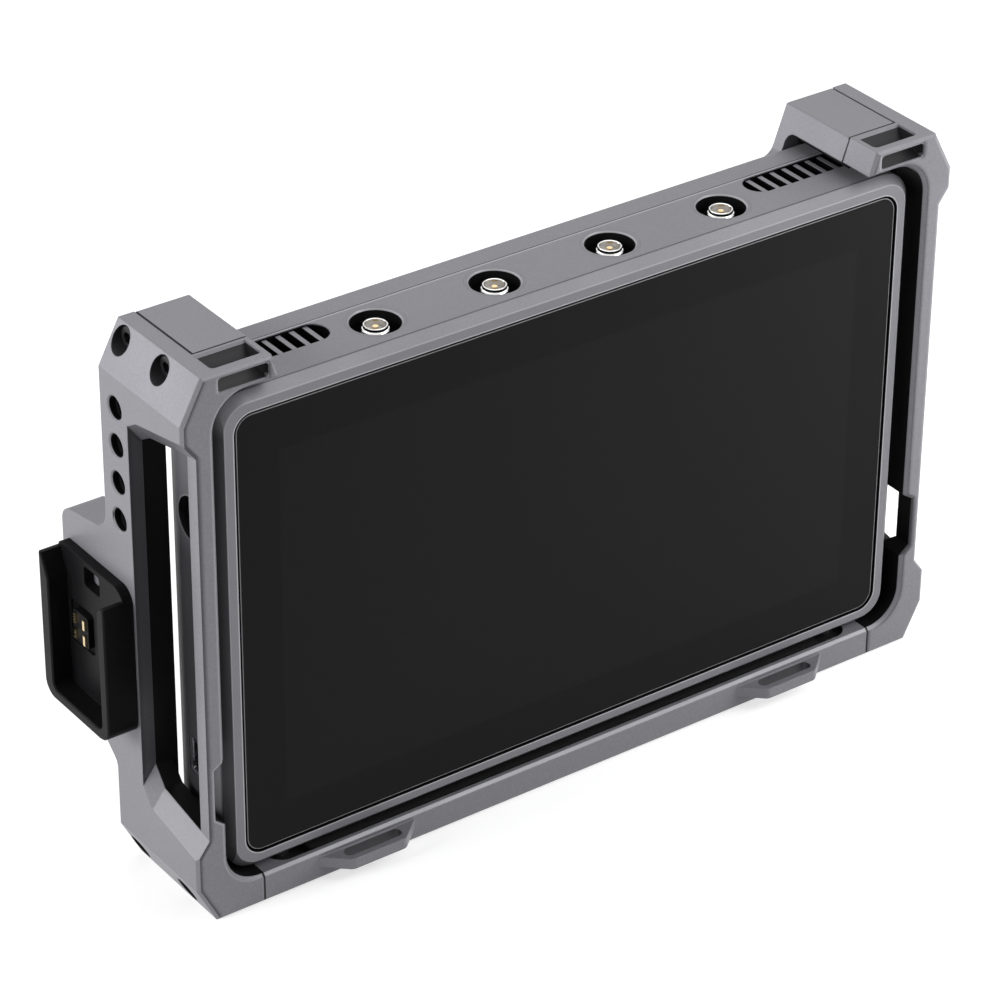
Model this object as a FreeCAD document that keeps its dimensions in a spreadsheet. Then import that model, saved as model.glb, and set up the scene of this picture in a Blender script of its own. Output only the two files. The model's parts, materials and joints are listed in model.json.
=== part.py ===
import FreeCAD, Part
import math
import os
from types import SimpleNamespace

import Sketcher

# Driving sizes in millimetres. Everything below is worked out from these.
SIZES = {
    # Monitor shells
    "monitor_width": 185.0,
    "monitor_height": 118.3,
    "monitor_depth": 25.55,
    "monitor_corner": 7.5,
    "shell_wall": 2.0,
    "bezel_depth": 2.45,
    "bezel_chamfer": 2.0,
    "bezel_side_band": 4.3,
    "bezel_low_band": 4.05,
    "bezel_high_band": 4.4,
    "bezel_opening_round": 4.5,
    "lip_reach": 5.0,
    "lip_thickness": 0.7,
    "housing_depth": 16.3,
    "side_rounding": 10.5,
    "edge_rounding": 1.8,
    # Screen stack
    "glass_gap": 0.35,
    "glass_inset": 0.25,
    "glass_thickness": 1.2,
    "panel_width": 161.0,
    "panel_height": 95.0,
    "panel_rise": 11.2,
    "panel_thickness": 1.45,
    "backlight_thickness": 2.55,
    "stack_gap": 0.05,
    "mid_plate_thickness": 1.2,
    # Electronics
    "board_width": 168.0,
    "board_height": 58.0,
    "board_rise": 14.2,
    "board_thickness": 1.6,
    "standoff_height": 3.3,
    "chip_side": 18.0,
    "chip_thickness": 1.4,
    "chip_spread": 15.0,
    "sink_width": 64.0,
    "sink_height": 38.0,
    "sink_base": 1.6,
    "fin_height": 4.4,
    "fin_thickness": 1.0,
    "fin_pitch": 4.5,
    "radio_width": 24.0,
    "radio_height": 30.0,
    "radio_thickness": 3.0,
    # Fans
    "fan_side": 30.0,
    "fan_depth": 8.0,
    "fan_side_gap": 0.5,
    "fan_drop": 25.1,
    "fan_wall": 1.0,
    "fan_chamber_radius": 12.6,
    "fan_intake_radius": 9.0,
    "fan_axle_radius": 0.8,
    "fan_running_gap": 0.05,
    "rotor_radius": 11.6,
    "rotor_hub_radius": 5.0,
    "rotor_gap": 0.5,
    # Top outlets
    "grille_inner_end": 55.9,
    "grille_length": 28.4,
    "grille_width": 7.8,
    "grille_setback": 10.35,
    "slat_inner_end": 3.2,
    "slat_outer_end": 4.8,
    "slat_width": 1.2,
    "slat_recess": 0.5,
    "grille_base": 1.6,
    # Antenna sockets
    "socket_pitch": 30.67,
    "socket_setback": 10.75,
    "well_radius": 6.2,
    "well_depth": 7.0,
    "well_wall": 1.2,
    "socket_flange_radius": 4.6,
    "socket_flange_height": 1.2,
    "socket_barrel_radius": 3.15,
    "socket_height": 6.4,
    "socket_stem_radius": 2.5,
    "socket_stem_length": 4.5,
    "socket_bore_radius": 2.3,
    "socket_bore_depth": 5.0,
    "insulator_height": 3.4,
    "socket_pin_radius": 0.65,
    "socket_pin_height": 4.4,
    "nut_width": 8.0,
    "nut_height": 2.2,
    # Side sockets and button
    "jack_setback": 10.65,
    "jack_rise": 85.9,
    "jack_recess_radius": 5.3,
    "jack_recess_depth": 2.6,
    "jack_collar_radius": 2.9,
    "jack_bore_radius": 1.78,
    "jack_body_side": 7.0,
    "jack_body_length": 9.0,
    "usb_rise": 25.2,
    "usb_width": 9.0,
    "usb_thickness": 3.2,
    "usb_length": 9.2,
    "usb_wall": 0.3,
    "button_radius": 3.3,
    "button_flange_radius": 4.5,
    "button_flange": 1.1,
    "button_stem_radius": 1.5,
    "button_proud": 0.4,
    "button_travel": 0.6,
    "moving_gap": 0.3,
    "switch_side": 6.0,
    "switch_length": 4.0,
    # Cage
    "front_setback": 2.25,
    "pillar_gap": 1.8,
    "rail_gap": 0.5,
    "frame_wall": 9.0,
    "bar_height": 7.4,
    "seat_gap": 0.4,
    "top_gap": 2.9,
    "arm_thickness": 5.6,
    "rear_gap": 1.0,
    "jaw_leg": 3.2,
    "foot_reach": 9.1,
    "opening_round": 8.5,
    "roof_chamfer_in": 5.2,
    "roof_chamfer_down": 9.9,
    "foot_chamfer_in": 4.8,
    "foot_chamfer_up": 9.4,
    "edge_break": 0.7,
    "small_break": 0.3,
    "arm_depth": 9.7,
    "arm_end_in": 13.3,
    "arm_end_lean": 1.9,
    "seam": 0.25,
    # Side window
    "pillar_depth": 3.45,
    "pillar_recess": 3.3,
    "window_rear": 21.4,
    "window_bend": 17.9,
    "window_low_front": 17.2,
    "window_low_bend": 21.0,
    "window_low_rear": 25.4,
    "window_high_front": 13.5,
    "window_high_bend": 17.1,
    "window_high_rear": 19.2,
    "bevel_rise": 4.4,
    "pillar_wedge": 5.0,
    "notch_low": 25.0,
    "notch_high": 41.0,
    "notch_reach": 2.8,
    "notch_slant": 1.6,
    # Strap passage and lugs
    "passage_setback": 2.4,
    "passage_end": 9.1,
    "passage_inset": 1.1,
    "passage_width": 12.2,
    "passage_floor": 1.2,
    "passage_roof": 1.1,
    "lug_spread": 58.2,
    "lug_base": 26.8,
    "lug_tip": 14.0,
    "lug_reach": 5.0,
    "lug_rise": 3.3,
    "lug_thickness": 2.7,
    "lug_slot_length": 15.0,
    "lug_slot_width": 2.9,
    "lug_slot_start": 0.5,
    # Bottom bar
    "pocket_end_in": 4.2,
    "pocket_setback": 1.7,
    "pocket_width": 9.0,
    "pocket_depth": 2.0,
    "pocket_round": 3.9,
    "pad_gap": 0.3,
    "pad_ear": 9.0,
    "pad_ear_thickness": 0.9,
    "pad_screw_in": 3.8,
    "thread_radius": 2.55,
    "thread_depth": 6.2,
    "monitor_screw_spread": 40.0,
    # Threaded row on the side
    "row_setback": 26.3,
    "row_first_drop": 17.3,
    "row_pitch": 9.0,
    "row_mouth": 0.4,
    # Screws
    "base_screw_radius": 2.0,
    "base_screw_head_radius": 3.5,
    "jaw_screw_radius": 1.5,
    "jaw_screw_head_radius": 2.7,
    "screw_seat_depth": 2.6,
    "jaw_screw_head": 2.8,
    "jaw_screw_length": 12.0,
    "jaw_screw_drop": 3.4,
    "jaw_screw_front": 13.2,
    "jaw_screw_rear": 28.3,
    "bar_screw_radius": 1.5,
    "bar_screw_head_radius": 2.75,
    "bar_screw_head": 2.4,
    "bar_screw_length": 13.0,
    "bar_screw_rise": 3.5,
    "bar_screw_front": 9.6,
    "bar_screw_rear": 29.0,
    "counterbore_gap": 0.25,
    "screw_gap": 0.05,
    "small_screw_radius": 1.0,
    "small_screw_head_radius": 1.9,
    "small_screw_head": 1.3,
    # Clamp jaws
    "jaw_top": 5.6,
    "jaw_drop": 17.0,
    "jaw_toe": 8.0,
    "jaw_toe_drop": 11.9,
    "jaw_lean": 4.4,
    "jaw_arch_round": 2.5,
    # Battery block and plate
    "block_back": 18.9,
    "block_top": 85.0,
    "block_top_fall": 3.2,
    "block_root_high": 93.0,
    "block_low_rear": 42.0,
    "block_low_front": 27.6,
    "block_root_low": 21.0,
    "block_round": 4.0,
    "plate_front": 22.2,
    "plate_back": 48.8,
    "plate_low": 38.0,
    "plate_high": 75.0,
    "plate_wall_high": 74.0,
    "plate_stand": 7.5,
    "plate_floor": 2.4,
    "plate_front_wall": 2.7,
    "plate_back_wall": 3.4,
    "plate_low_wall": 2.4,
    "plate_round": 4.0,
    "lead_in_drop": 5.5,
    "lead_in": 2.4,
    "latch_hole_centre": 35.2,
    "latch_hole_width": 6.4,
    "latch_hole_height": 5.0,
    "latch_hole_top": 1.2,
    "contact_front": 36.2,
    "contact_back": 42.4,
    "contact_low": 53.6,
    "contact_high": 61.4,
    "contact_stand": 1.6,
    "contact_gap": 0.1,
    "blade_spread": 3.8,
    "blade_step": 3.9,
    "blade_length": 2.4,
    "blade_thickness": 0.8,
    "blade_stand": 0.5,
    "plate_screw_radius": 1.25,
    "plate_screw_head_radius": 2.4,
    "plate_screw_head": 1.8,
}

SHEET = "Sizes"
document = FreeCAD.newDocument("field_monitor")


class Dim:
    """A size: its number, and the sheet expression that drives it."""

    def __init__(self, text, value):
        self.text = text
        self.value = value

    def __add__(self, other):
        return Dim(f"({self.text} + {text_of(other)})", self.value + value_of(other))

    def __radd__(self, other):
        return self + other

    def __sub__(self, other):
        return Dim(f"({self.text} - {text_of(other)})", self.value - value_of(other))

    def __rsub__(self, other):
        return Dim(f"({text_of(other)} - {self.text})", value_of(other) - self.value)

    def __mul__(self, other):
        return Dim(f"({self.text} * {text_of(other)})", self.value * value_of(other))

    def __rmul__(self, other):
        return self * other

    def __truediv__(self, other):
        return Dim(f"({self.text} / {text_of(other)})", self.value / value_of(other))

    def __neg__(self):
        return Dim(f"(0 - {self.text})", -self.value)


def text_of(item):
    """The sheet expression of a size, or the plain number as text."""
    return item.text if isinstance(item, Dim) else str(float(item))


def value_of(item):
    """The number behind a size."""
    return item.value if isinstance(item, Dim) else float(item)


def fill_sheet():
    """Write every driving size into the sheet and hand back a size object for each."""
    sheet = document.addObject("Spreadsheet::Sheet", SHEET)
    found = {}
    for row, (alias, number) in enumerate(SIZES.items(), start=1):
        sheet.set(f"A{row}", alias)
        sheet.set(f"B{row}", str(number))
        sheet.setAlias(f"B{row}", alias)
        found[alias] = Dim(f"{SHEET}.{alias}", number)
    document.recompute()
    return SimpleNamespace(**found)


s = fill_sheet()

# Shared layout. X is to the right, Y to the back, Z up; the origin is under the middle of the bar.
frame_depth = s.front_setback + s.monitor_depth + s.rear_gap + s.jaw_leg
front = -frame_depth / 2
rear = frame_depth / 2
half_monitor = s.monitor_width / 2
pillar_x = half_monitor + s.pillar_gap
rail_x = half_monitor + s.rail_gap
outer_x = rail_x + s.frame_wall
bar_half = pillar_x - s.foot_reach
floor_z = s.bar_height + s.seat_gap
ceiling_z = floor_z + s.monitor_height
arm_z = ceiling_z + s.top_gap
roof_z = arm_z + s.arm_thickness
roof_x = outer_x - s.roof_chamfer_in
arm_end = rail_x - s.arm_end_in
jaw_x = rail_x - s.seam

bezel_y = front + s.front_setback
housing_y = bezel_y + s.bezel_depth
cover_y = housing_y + s.housing_depth
back_y = bezel_y + s.monitor_depth
cover_inner_y = back_y - s.shell_wall
glass_y = bezel_y + s.glass_inset
panel_y = glass_y + s.glass_thickness + s.stack_gap
backlight_y = panel_y + s.panel_thickness + s.stack_gap
mid_plate_y = backlight_y + s.backlight_thickness + s.stack_gap
standoff_y = mid_plate_y + s.mid_plate_thickness
board_y = standoff_y + s.standoff_height
board_back_y = board_y + s.board_thickness
socket_y = bezel_y + s.socket_setback
inner_half = half_monitor - s.shell_wall
inner_floor_z = floor_z + s.shell_wall
inner_ceiling_z = ceiling_z - s.shell_wall
mid_plate_low_z = inner_floor_z + 0.8
mid_plate_high_z = ceiling_z - 12.8
board_low_z = floor_z + s.board_rise
board_high_z = board_low_z + s.board_height


def bind(item, prop, amount):
    """Drive a property of a document object by a size."""
    item.setExpression(prop, text_of(amount))


def place(item, x=0, y=0, z=0, axis=None, angle=0):
    """Set the turn of an object and drive its position by sizes."""
    if axis:
        item.Placement = FreeCAD.Placement(FreeCAD.Vector(), FreeCAD.Rotation(FreeCAD.Vector(*axis), angle))
    for letter, amount in zip("xyz", (x, y, z)):
        bind(item, f"Placement.Base.{letter}", amount)


def circle(across, up, radius):
    """A round loop for a sketch."""
    return ("circle", across, up, radius)


def rounded(low_across, low_up, high_across, high_up, radius):
    """A rectangle with rounded corners as a loop for a sketch."""
    return [(low_across, low_up, radius), (high_across, low_up, radius),
            (high_across, high_up, radius), (low_across, high_up, radius)]


def rectangle(low_across, low_up, high_across, high_up):
    """A plain rectangle as a loop for a sketch."""
    return rounded(low_across, low_up, high_across, high_up, None)


def rings(spots, radius):
    """One round loop at each spot."""
    return [circle(across, up, radius) for across, up in spots]


def hexagon(across, up, width):
    """A regular hexagon, given the distance across its flats."""
    corner = width / math.sqrt(3)
    half = width / 2
    return [(across + corner, up), (across + corner / 2, up + half), (across - corner / 2, up + half),
            (across - corner, up), (across - corner / 2, up - half), (across + corner / 2, up - half)]


def corner_arc(before, corner, after, radius):
    """Centre, tangent points and turning sense of the arc that rounds one corner."""
    inward = (corner - before).normalize()
    outward = (after - corner).normalize()
    turn = math.atan2(inward.x * outward.y - inward.y * outward.x, inward.dot(outward))
    reach = radius * math.tan(abs(turn) / 2)
    start = corner - inward * reach
    end = corner + outward * reach
    side = 1.0 if turn > 0 else -1.0
    centre = start + FreeCAD.Vector(-inward.y, inward.x, 0) * radius * side
    return SimpleNamespace(centre=centre, start=start, end=end, left=turn > 0)


class Drawing:
    """Gathers the curves and rules of one sketch, so that the sketch is solved once."""

    def __init__(self):
        self.curves = []
        self.marks = []
        self.rules = []
        self.driven = []

    def curve(self, shape):
        """Add a curve and give its number."""
        self.curves.append(shape)
        return len(self.curves) - 1

    def mark(self, point):
        """Add a construction point; its number is known once all curves are in."""
        self.marks.append(Part.Point(point))
        return ("mark", len(self.marks) - 1)

    def rule(self, kind, *items):
        """Add a geometric rule."""
        self.rules.append((kind, items))

    def drive(self, name, amount, kind, *items):
        """Add a rule whose amount is driven by a size."""
        self.driven.append((len(self.rules), name, amount))
        self.rules.append((kind, items + (value_of(amount),)))

    def pin_point(self, name, curve, position, across, up):
        """Fix one point at two driven distances from the origin."""
        self.drive(f"{name}_x", across, "DistanceX", -1, 1, curve, position)
        self.drive(f"{name}_y", up, "DistanceY", -1, 1, curve, position)

    def circle(self, name, loop):
        """Add a driven circle."""
        across, up, radius = loop[1:]
        centre = FreeCAD.Vector(value_of(across), value_of(up), 0)
        curve = self.curve(Part.Circle(centre, FreeCAD.Vector(0, 0, 1), value_of(radius)))
        self.pin_point(name, curve, 3, across, up)
        self.drive(f"{name}_r", radius, "Radius", curve)

    def polygon(self, name, loop):
        """Add a closed outline whose corners are driven by sizes; a third entry rounds the corner."""
        corners = [FreeCAD.Vector(value_of(point[0]), value_of(point[1]), 0) for point in loop]
        radii = [point[2] if len(point) > 2 else None for point in loop]
        count = len(loop)
        arcs = [corner_arc(corners[i - 1], corners[i], corners[(i + 1) % count], value_of(radii[i]))
                if radii[i] else None for i in range(count)]
        lines = []
        for i in range(count):
            after = (i + 1) % count
            start = arcs[i].end if arcs[i] else corners[i]
            end = arcs[after].start if arcs[after] else corners[after]
            lines.append(self.curve(Part.LineSegment(start, end)))
        for i in range(count):
            point_name = f"{name}_{i}"
            before, after = lines[i - 1], lines[i]
            if arcs[i] is None:
                self.rule("Coincident", before, 2, after, 1)
                self.pin_point(point_name, after, 1, loop[i][0], loop[i][1])
                continue
            arc = arcs[i]
            first, last = (arc.start, arc.end) if arc.left else (arc.end, arc.start)
            angles = [math.atan2(end.y - arc.centre.y, end.x - arc.centre.x) for end in (first, last)]
            ring = Part.Circle(arc.centre, FreeCAD.Vector(0, 0, 1), value_of(radii[i]))
            curve = self.curve(Part.ArcOfCircle(ring, angles[0], angles[1]))
            corner = self.mark(corners[i])
            near, far = (1, 2) if arc.left else (2, 1)
            self.rule("Tangent", before, 2, curve, near)
            self.rule("Tangent", curve, far, after, 1)
            self.rule("PointOnObject", corner, 1, before)
            self.rule("PointOnObject", corner, 1, after)
            self.pin_point(point_name, corner, 1, loop[i][0], loop[i][1])
            self.drive(f"{point_name}_r", radii[i], "Radius", curve)

    def put_into(self, sketch):
        """Write everything into the sketch at once."""
        sketch.addGeometry(self.curves, False)
        if self.marks:
            sketch.addGeometry(self.marks, True)
        total = len(self.curves)
        rules = [Sketcher.Constraint(kind, *[total + item[1] if isinstance(item, tuple) else item for item in items])
                 for kind, items in self.rules]
        sketch.addConstraint(rules)
        for index, name, amount in self.driven:
            sketch.renameConstraint(index, name)
            sketch.setExpression(f"Constraints.{name}", text_of(amount))


class Piece:
    """A body made of prisms along the main axes, each from a driven sketch."""

    def __init__(self, label):
        self.body = document.addObject("PartDesign::Body", label)
        self.body.Label = label
        self.origin = {part.Role: part for part in self.body.Origin.OriginFeatures}
        self.steps = 0

    def sketch(self, plane, loops, level):
        """A sketch on a main plane, moved along the plane's axis to a driven level."""
        sketch = self.body.newObject("Sketcher::SketchObject", f"{self.body.Name}_sketch_{self.steps}")
        self.steps += 1
        sketch.AttachmentSupport = [(self.origin[plane + "_Plane"], "")]
        sketch.MapMode = "FlatFace"
        bind(sketch, "AttachmentOffset.Base.z", -level if plane == "XZ" else level)
        drawing = Drawing()
        for number, loop in enumerate(loops):
            draw = drawing.circle if loop[0] == "circle" else drawing.polygon
            draw(f"loop{number}", loop)
        drawing.put_into(sketch)
        return sketch

    def extrude(self, kind, plane, loops, level, length, backwards):
        """A pad or pocket that runs from a level in the plus direction of its axis."""
        profile = self.sketch(plane, loops, level)
        feature = self.body.newObject(f"PartDesign::{kind}", f"{self.body.Name}_{kind.lower()}_{self.steps}")
        feature.Profile = profile
        bind(feature, "Length", length)
        feature.Reversed = backwards
        return self

    def pad(self, plane, loops, level, length):
        """Add a prism."""
        return self.extrude("Pad", plane, loops, level, length, plane == "XZ")

    def pocket(self, plane, loops, level, length):
        """Take a prism away."""
        return self.extrude("Pocket", plane, loops, level, length, plane != "XZ")

    def funnel(self, plane, loop, level, far_loop, far_level):
        """Take away the straight-sided space between two outlines."""
        profile = self.sketch(plane, [loop], level)
        section = self.sketch(plane, [far_loop], far_level)
        feature = self.body.newObject("PartDesign::SubtractiveLoft", f"{self.body.Name}_loft_{self.steps}")
        feature.Profile = profile
        feature.Sections = [section]
        feature.Ruled = True
        return self

    def chamfer(self, chosen, amount):
        """Bevel every edge of the last step that the test picks."""
        document.recompute()
        base = self.body.Tip
        names = [f"Edge{i}" for i, edge in enumerate(base.Shape.Edges, start=1) if chosen(edge)]
        feature = self.body.newObject("PartDesign::Chamfer", f"{self.body.Name}_chamfer_{self.steps}")
        self.steps += 1
        feature.Base = (base, names)
        bind(feature, "Size", amount)
        return self

    def around(self, axis, count):
        """Repeat the last step round one of the body's own axes."""
        last = self.body.Tip
        pattern = self.body.newObject("PartDesign::PolarPattern", f"{self.body.Name}_pattern")
        pattern.Originals = [last]
        pattern.Axis = (self.origin[axis + "_Axis"], [""])
        pattern.Angle = 360
        pattern.Occurrences = count
        self.body.Tip = pattern
        return self


def lies_at(axis, level):
    """An edge test: the whole edge lies in one plane square to an axis."""
    def test(edge):
        box = edge.BoundBox
        low, high = getattr(box, axis + "Min"), getattr(box, axis + "Max")
        return abs(low - value_of(level)) < 1e-4 and abs(high - value_of(level)) < 1e-4
    return test


def ring_at(axis, level, radius):
    """An edge test: a circle of one radius in one plane square to an axis."""
    in_plane = lies_at(axis, level)

    def test(edge):
        return in_plane(edge) and isinstance(edge.Curve, Part.Circle) and abs(edge.Curve.Radius - value_of(radius)) < 1e-4
    return test


def mirrored(label, source):
    """The right-hand copy of a left-hand object."""
    copy = document.addObject("Part::Mirroring", label)
    copy.Label = label
    copy.Source = source
    copy.Normal = FreeCAD.Vector(1, 0, 0)
    return copy


def copies(label, source, spots, axis=None, angle=0):
    """One group of separate solids: the source repeated at each spot."""
    links = []
    for number, (x, y, z) in enumerate(spots):
        link = document.addObject("App::Link", f"{label}_{number}")
        link.LinkedObject = source
        place(link, x, y, z, axis, angle)
        links.append(link)
    return gathered(label, links)


def gathered(label, members):
    """One group of separate solids."""
    group = document.addObject("Part::Compound", label)
    group.Label = label
    group.Links = members
    return group


def combined(kind, label, base, tool):
    """The boolean of two objects."""
    result = document.addObject(f"Part::{kind}", label)
    result.Label = label
    result.Base = base
    result.Tool = tool
    return result


def socket_screw(label, radius, length, head_radius, head, key):
    """A socket head screw along X: head towards minus X, seat at zero, shank towards plus X."""
    screw = Piece(label)
    screw.pad("YZ", [circle(0, 0, head_radius)], -head, head)
    screw.pad("YZ", [circle(0, 0, radius)], 0, length)
    screw.pocket("YZ", [hexagon(0, 0, key)], -head, head / 2)
    screw.chamfer(ring_at("X", -head, head_radius), s.small_break)
    return screw.body


def cross_screw(label, radius, length, head_radius, head):
    """A low screw along Y: head towards plus Y, seat at zero, shank towards minus Y."""
    screw = Piece(label)
    screw.pad("XZ", [circle(0, 0, head_radius)], 0, head)
    screw.pad("XZ", [circle(0, 0, radius)], -length, length)
    arm = head_radius * 0.6
    slit = head_radius * 0.14
    screw.pocket("XZ", [rectangle(-arm, -slit, arm, slit)], head * 0.5, head)
    screw.pocket("XZ", [rectangle(-slit, -arm, slit, arm)], head * 0.5, head)
    return screw.body


def monitor_outline(inset):
    """The rounded front outline of the monitor, drawn in by an inset."""
    return rounded(-half_monitor + inset, floor_z + inset, half_monitor - inset, ceiling_z - inset,
                   s.monitor_corner - inset)


def opening_outline(inset):
    """The rounded opening of the bezel, drawn in by an inset."""
    return rounded(-half_monitor + s.bezel_side_band + inset, floor_z + s.bezel_low_band + inset,
                   half_monitor - s.bezel_side_band - inset, ceiling_z - s.bezel_high_band - inset,
                   s.bezel_opening_round - inset)


def rear_corner(sign):
    """What the rounding of one rear side edge takes off, seen from above."""
    reach = s.side_rounding + 0.5
    return [(sign * (half_monitor + 1), back_y - reach), (sign * half_monitor, back_y - reach),
            (sign * half_monitor, back_y, s.side_rounding), (sign * (half_monitor - reach), back_y),
            (sign * (half_monitor - reach), back_y + 1), (sign * (half_monitor + 1), back_y + 1)]


def round_rear_corners(piece):
    """Round both upright rear edges of a monitor shell."""
    for sign in (-1, 1):
        piece.pocket("XY", [rear_corner(sign)], floor_z - 1, s.monitor_height + 2)
    return piece


socket_spots = [s.socket_pitch * step for step in (-1.5, -0.5, 0.5, 1.5)]
cover_posts = [(s.socket_pitch * across, level)
               for across, level in ((-1, ceiling_z - 5.0), (1, ceiling_z - 5.0), (-1, floor_z + 5.0),
                                     (1, floor_z + 5.0), (-2.5, floor_z + 5.0), (2.5, floor_z + 5.0))]
mid_plate_posts = [(sign * (inner_half - 2.3), level)
                   for sign in (-1, 1) for level in (floor_z + 6.2, floor_z + 75.0, floor_z + 102.5)]
jack_y = bezel_y + s.jack_setback
jack_z = floor_z + s.jack_rise
jack_seat_x = -half_monitor + s.jack_recess_depth
usb_y = board_back_y + s.stack_gap + s.usb_thickness / 2
usb_z = floor_z + s.usb_rise
button_y = usb_y
button_z = usb_z
grille_y = bezel_y + s.grille_setback
fan_spread = inner_half - (s.side_rounding - s.shell_wall) - s.fan_side / 2 - s.fan_side_gap
post_radius = 3.2
small_post_radius = 2.6
bush_radius = 3.6


def build_front_bezel():
    """The front frame: bevelled rim and the lip that carries the glass."""
    bezel = Piece("front_bezel")
    bezel.pad("XZ", [monitor_outline(0)], bezel_y, s.bezel_depth)
    bezel.chamfer(lies_at("Y", bezel_y), s.bezel_chamfer)
    bezel.pocket("XZ", [opening_outline(0)], bezel_y, s.bezel_depth - s.lip_thickness)
    bezel.pocket("XZ", [opening_outline(s.lip_reach * 0.85)], bezel_y, s.bezel_depth)
    return bezel.body


def build_middle_housing():
    """The walls of the monitor with its socket wells, outlets, side recess and posts."""
    housing = Piece("middle_housing")
    housing.pad("XZ", [monitor_outline(0), monitor_outline(s.shell_wall)], housing_y, s.housing_depth)
    round_rear_corners(housing)
    well_bottom = ceiling_z - s.well_depth - 1.5
    well_rings = [circle(x, socket_y, s.well_radius + s.well_wall) for x in socket_spots]
    housing.pad("XY", well_rings, well_bottom, s.well_depth + 1.0)
    wells = [circle(x, socket_y, s.well_radius) for x in socket_spots]
    housing.pocket("XY", wells, ceiling_z - s.well_depth, s.well_depth + 1)
    housing.chamfer(ring_at("Z", ceiling_z, s.well_radius), s.small_break)
    stems = [circle(x, socket_y, s.socket_stem_radius + s.screw_gap) for x in socket_spots]
    housing.pocket("XY", stems, well_bottom - 1, 4)
    slots = []
    for sign in (-1, 1):
        ends = [sign * s.grille_inner_end, sign * (s.grille_inner_end + s.grille_length)]
        low, high = (ends[1], ends[0]) if sign < 0 else (ends[0], ends[1])
        slots.append(rounded(low, grille_y, high, grille_y + s.grille_width, s.grille_width / 2 - 0.1))
    housing.pocket("XY", slots, ceiling_z - s.shell_wall - 1, s.shell_wall + 2)
    housing.pad("YZ", [circle(jack_y, jack_z, s.jack_recess_radius + 1.2)], -half_monitor + 1, s.jack_recess_depth + 0.4)
    housing.pocket("YZ", [circle(jack_y, jack_z, s.jack_recess_radius)], -half_monitor - 1, s.jack_recess_depth + 1)
    housing.pocket("YZ", [circle(jack_y, jack_z, s.jack_collar_radius + s.screw_gap)], -half_monitor, 6)
    usb_hole = rounded(usb_y - s.usb_thickness / 2 - 0.2, usb_z - s.usb_width / 2 - 0.2,
                       usb_y + s.usb_thickness / 2 + 0.2, usb_z + s.usb_width / 2 + 0.2, s.usb_thickness * 0.45)
    housing.pocket("YZ", [usb_hole], -half_monitor - 1, s.shell_wall + 2)
    housing.pocket("YZ", [circle(button_y, button_z, s.button_radius + s.moving_gap)], inner_half - 1, s.shell_wall + 2)
    length = cover_inner_y - s.stack_gap - (standoff_y + 1)
    housing.pad("XZ", rings(cover_posts, post_radius), standoff_y + 1, cover_y - standoff_y - 1)
    housing.pad("XZ", rings(cover_posts, post_radius - 0.4), standoff_y + 1, length)
    housing.pad("XZ", rings(mid_plate_posts, small_post_radius), standoff_y + s.stack_gap, 6)
    tapped = s.small_screw_radius + s.screw_gap
    housing.pocket("XZ", rings(cover_posts, tapped), standoff_y + 3, length)
    housing.pocket("XZ", rings(mid_plate_posts, tapped), standoff_y, 5)
    bushes = [(-s.monitor_screw_spread, 0), (s.monitor_screw_spread, 0)]
    housing.pad("XY", rings(bushes, bush_radius + 1.6), floor_z + 0.5, 7.5)
    housing.pocket("XY", rings(bushes, bush_radius), floor_z - 1, 7.5)
    return housing.body


def build_rear_cover():
    """The back shell, rounded at its edges, with air slots and screw holes."""
    shell = Piece("cover_shell")
    depth = back_y - cover_y
    shell.pad("XZ", [monitor_outline(0)], cover_y, depth)
    round_rear_corners(shell)
    for level, sign in ((floor_z, -1), (ceiling_z, 1)):
        reach = s.edge_rounding + 0.5
        edge = [(back_y - reach, level + sign), (back_y - reach, level), (back_y, level, s.edge_rounding),
                (back_y, level - sign * reach), (back_y + 1, level - sign * reach), (back_y + 1, level + sign)]
        shell.pocket("YZ", [edge], -half_monitor - 1, s.monitor_width + 2)
    seat = s.small_screw_head_radius + s.counterbore_gap
    shell.pocket("XZ", rings(cover_posts, s.small_screw_radius + 0.2), cover_y, depth + 1)
    shell.pocket("XZ", rings(cover_posts, seat), back_y - s.small_screw_head, s.small_screw_head + 1)
    fan_z = ceiling_z - s.fan_drop
    for sign in (-1, 1):
        slots = []
        for step in range(-3, 4):
            across = sign * fan_spread + step * 3.6
            reach = s.fan_intake_radius - abs(step) * 0.9
            slots.append(rectangle(across - 0.9, fan_z - reach, across + 0.9, fan_z + reach))
        shell.pocket("XZ", slots, cover_inner_y - 1, s.shell_wall + 2)
    low = board_low_z + 14
    slots = [rectangle(4.6 * step - 0.9, low, 4.6 * step + 0.9, low + 30) for step in range(-6, 7)]
    shell.pocket("XZ", slots, cover_inner_y - 1, s.shell_wall + 2)
    hollow = Piece("cover_hollow")
    hollow.pad("XZ", [monitor_outline(s.shell_wall)], cover_y - 1, cover_inner_y - cover_y + 1)
    inner_round = s.side_rounding - s.shell_wall
    plan = [(-inner_half, cover_y - 6), (inner_half, cover_y - 6), (inner_half, cover_inner_y, inner_round),
            (-inner_half, cover_inner_y, inner_round)]
    limit = Piece("cover_hollow_limit")
    limit.pad("XY", [plan], floor_z, s.monitor_height)
    space = combined_common("cover_space", hollow.body, limit.body)
    return combined("Cut", "rear_cover", shell.body, space)


def combined_common(label, first, second):
    """What two objects share."""
    shared = document.addObject("Part::MultiCommon", label)
    shared.Shapes = [first, second]
    return shared


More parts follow.
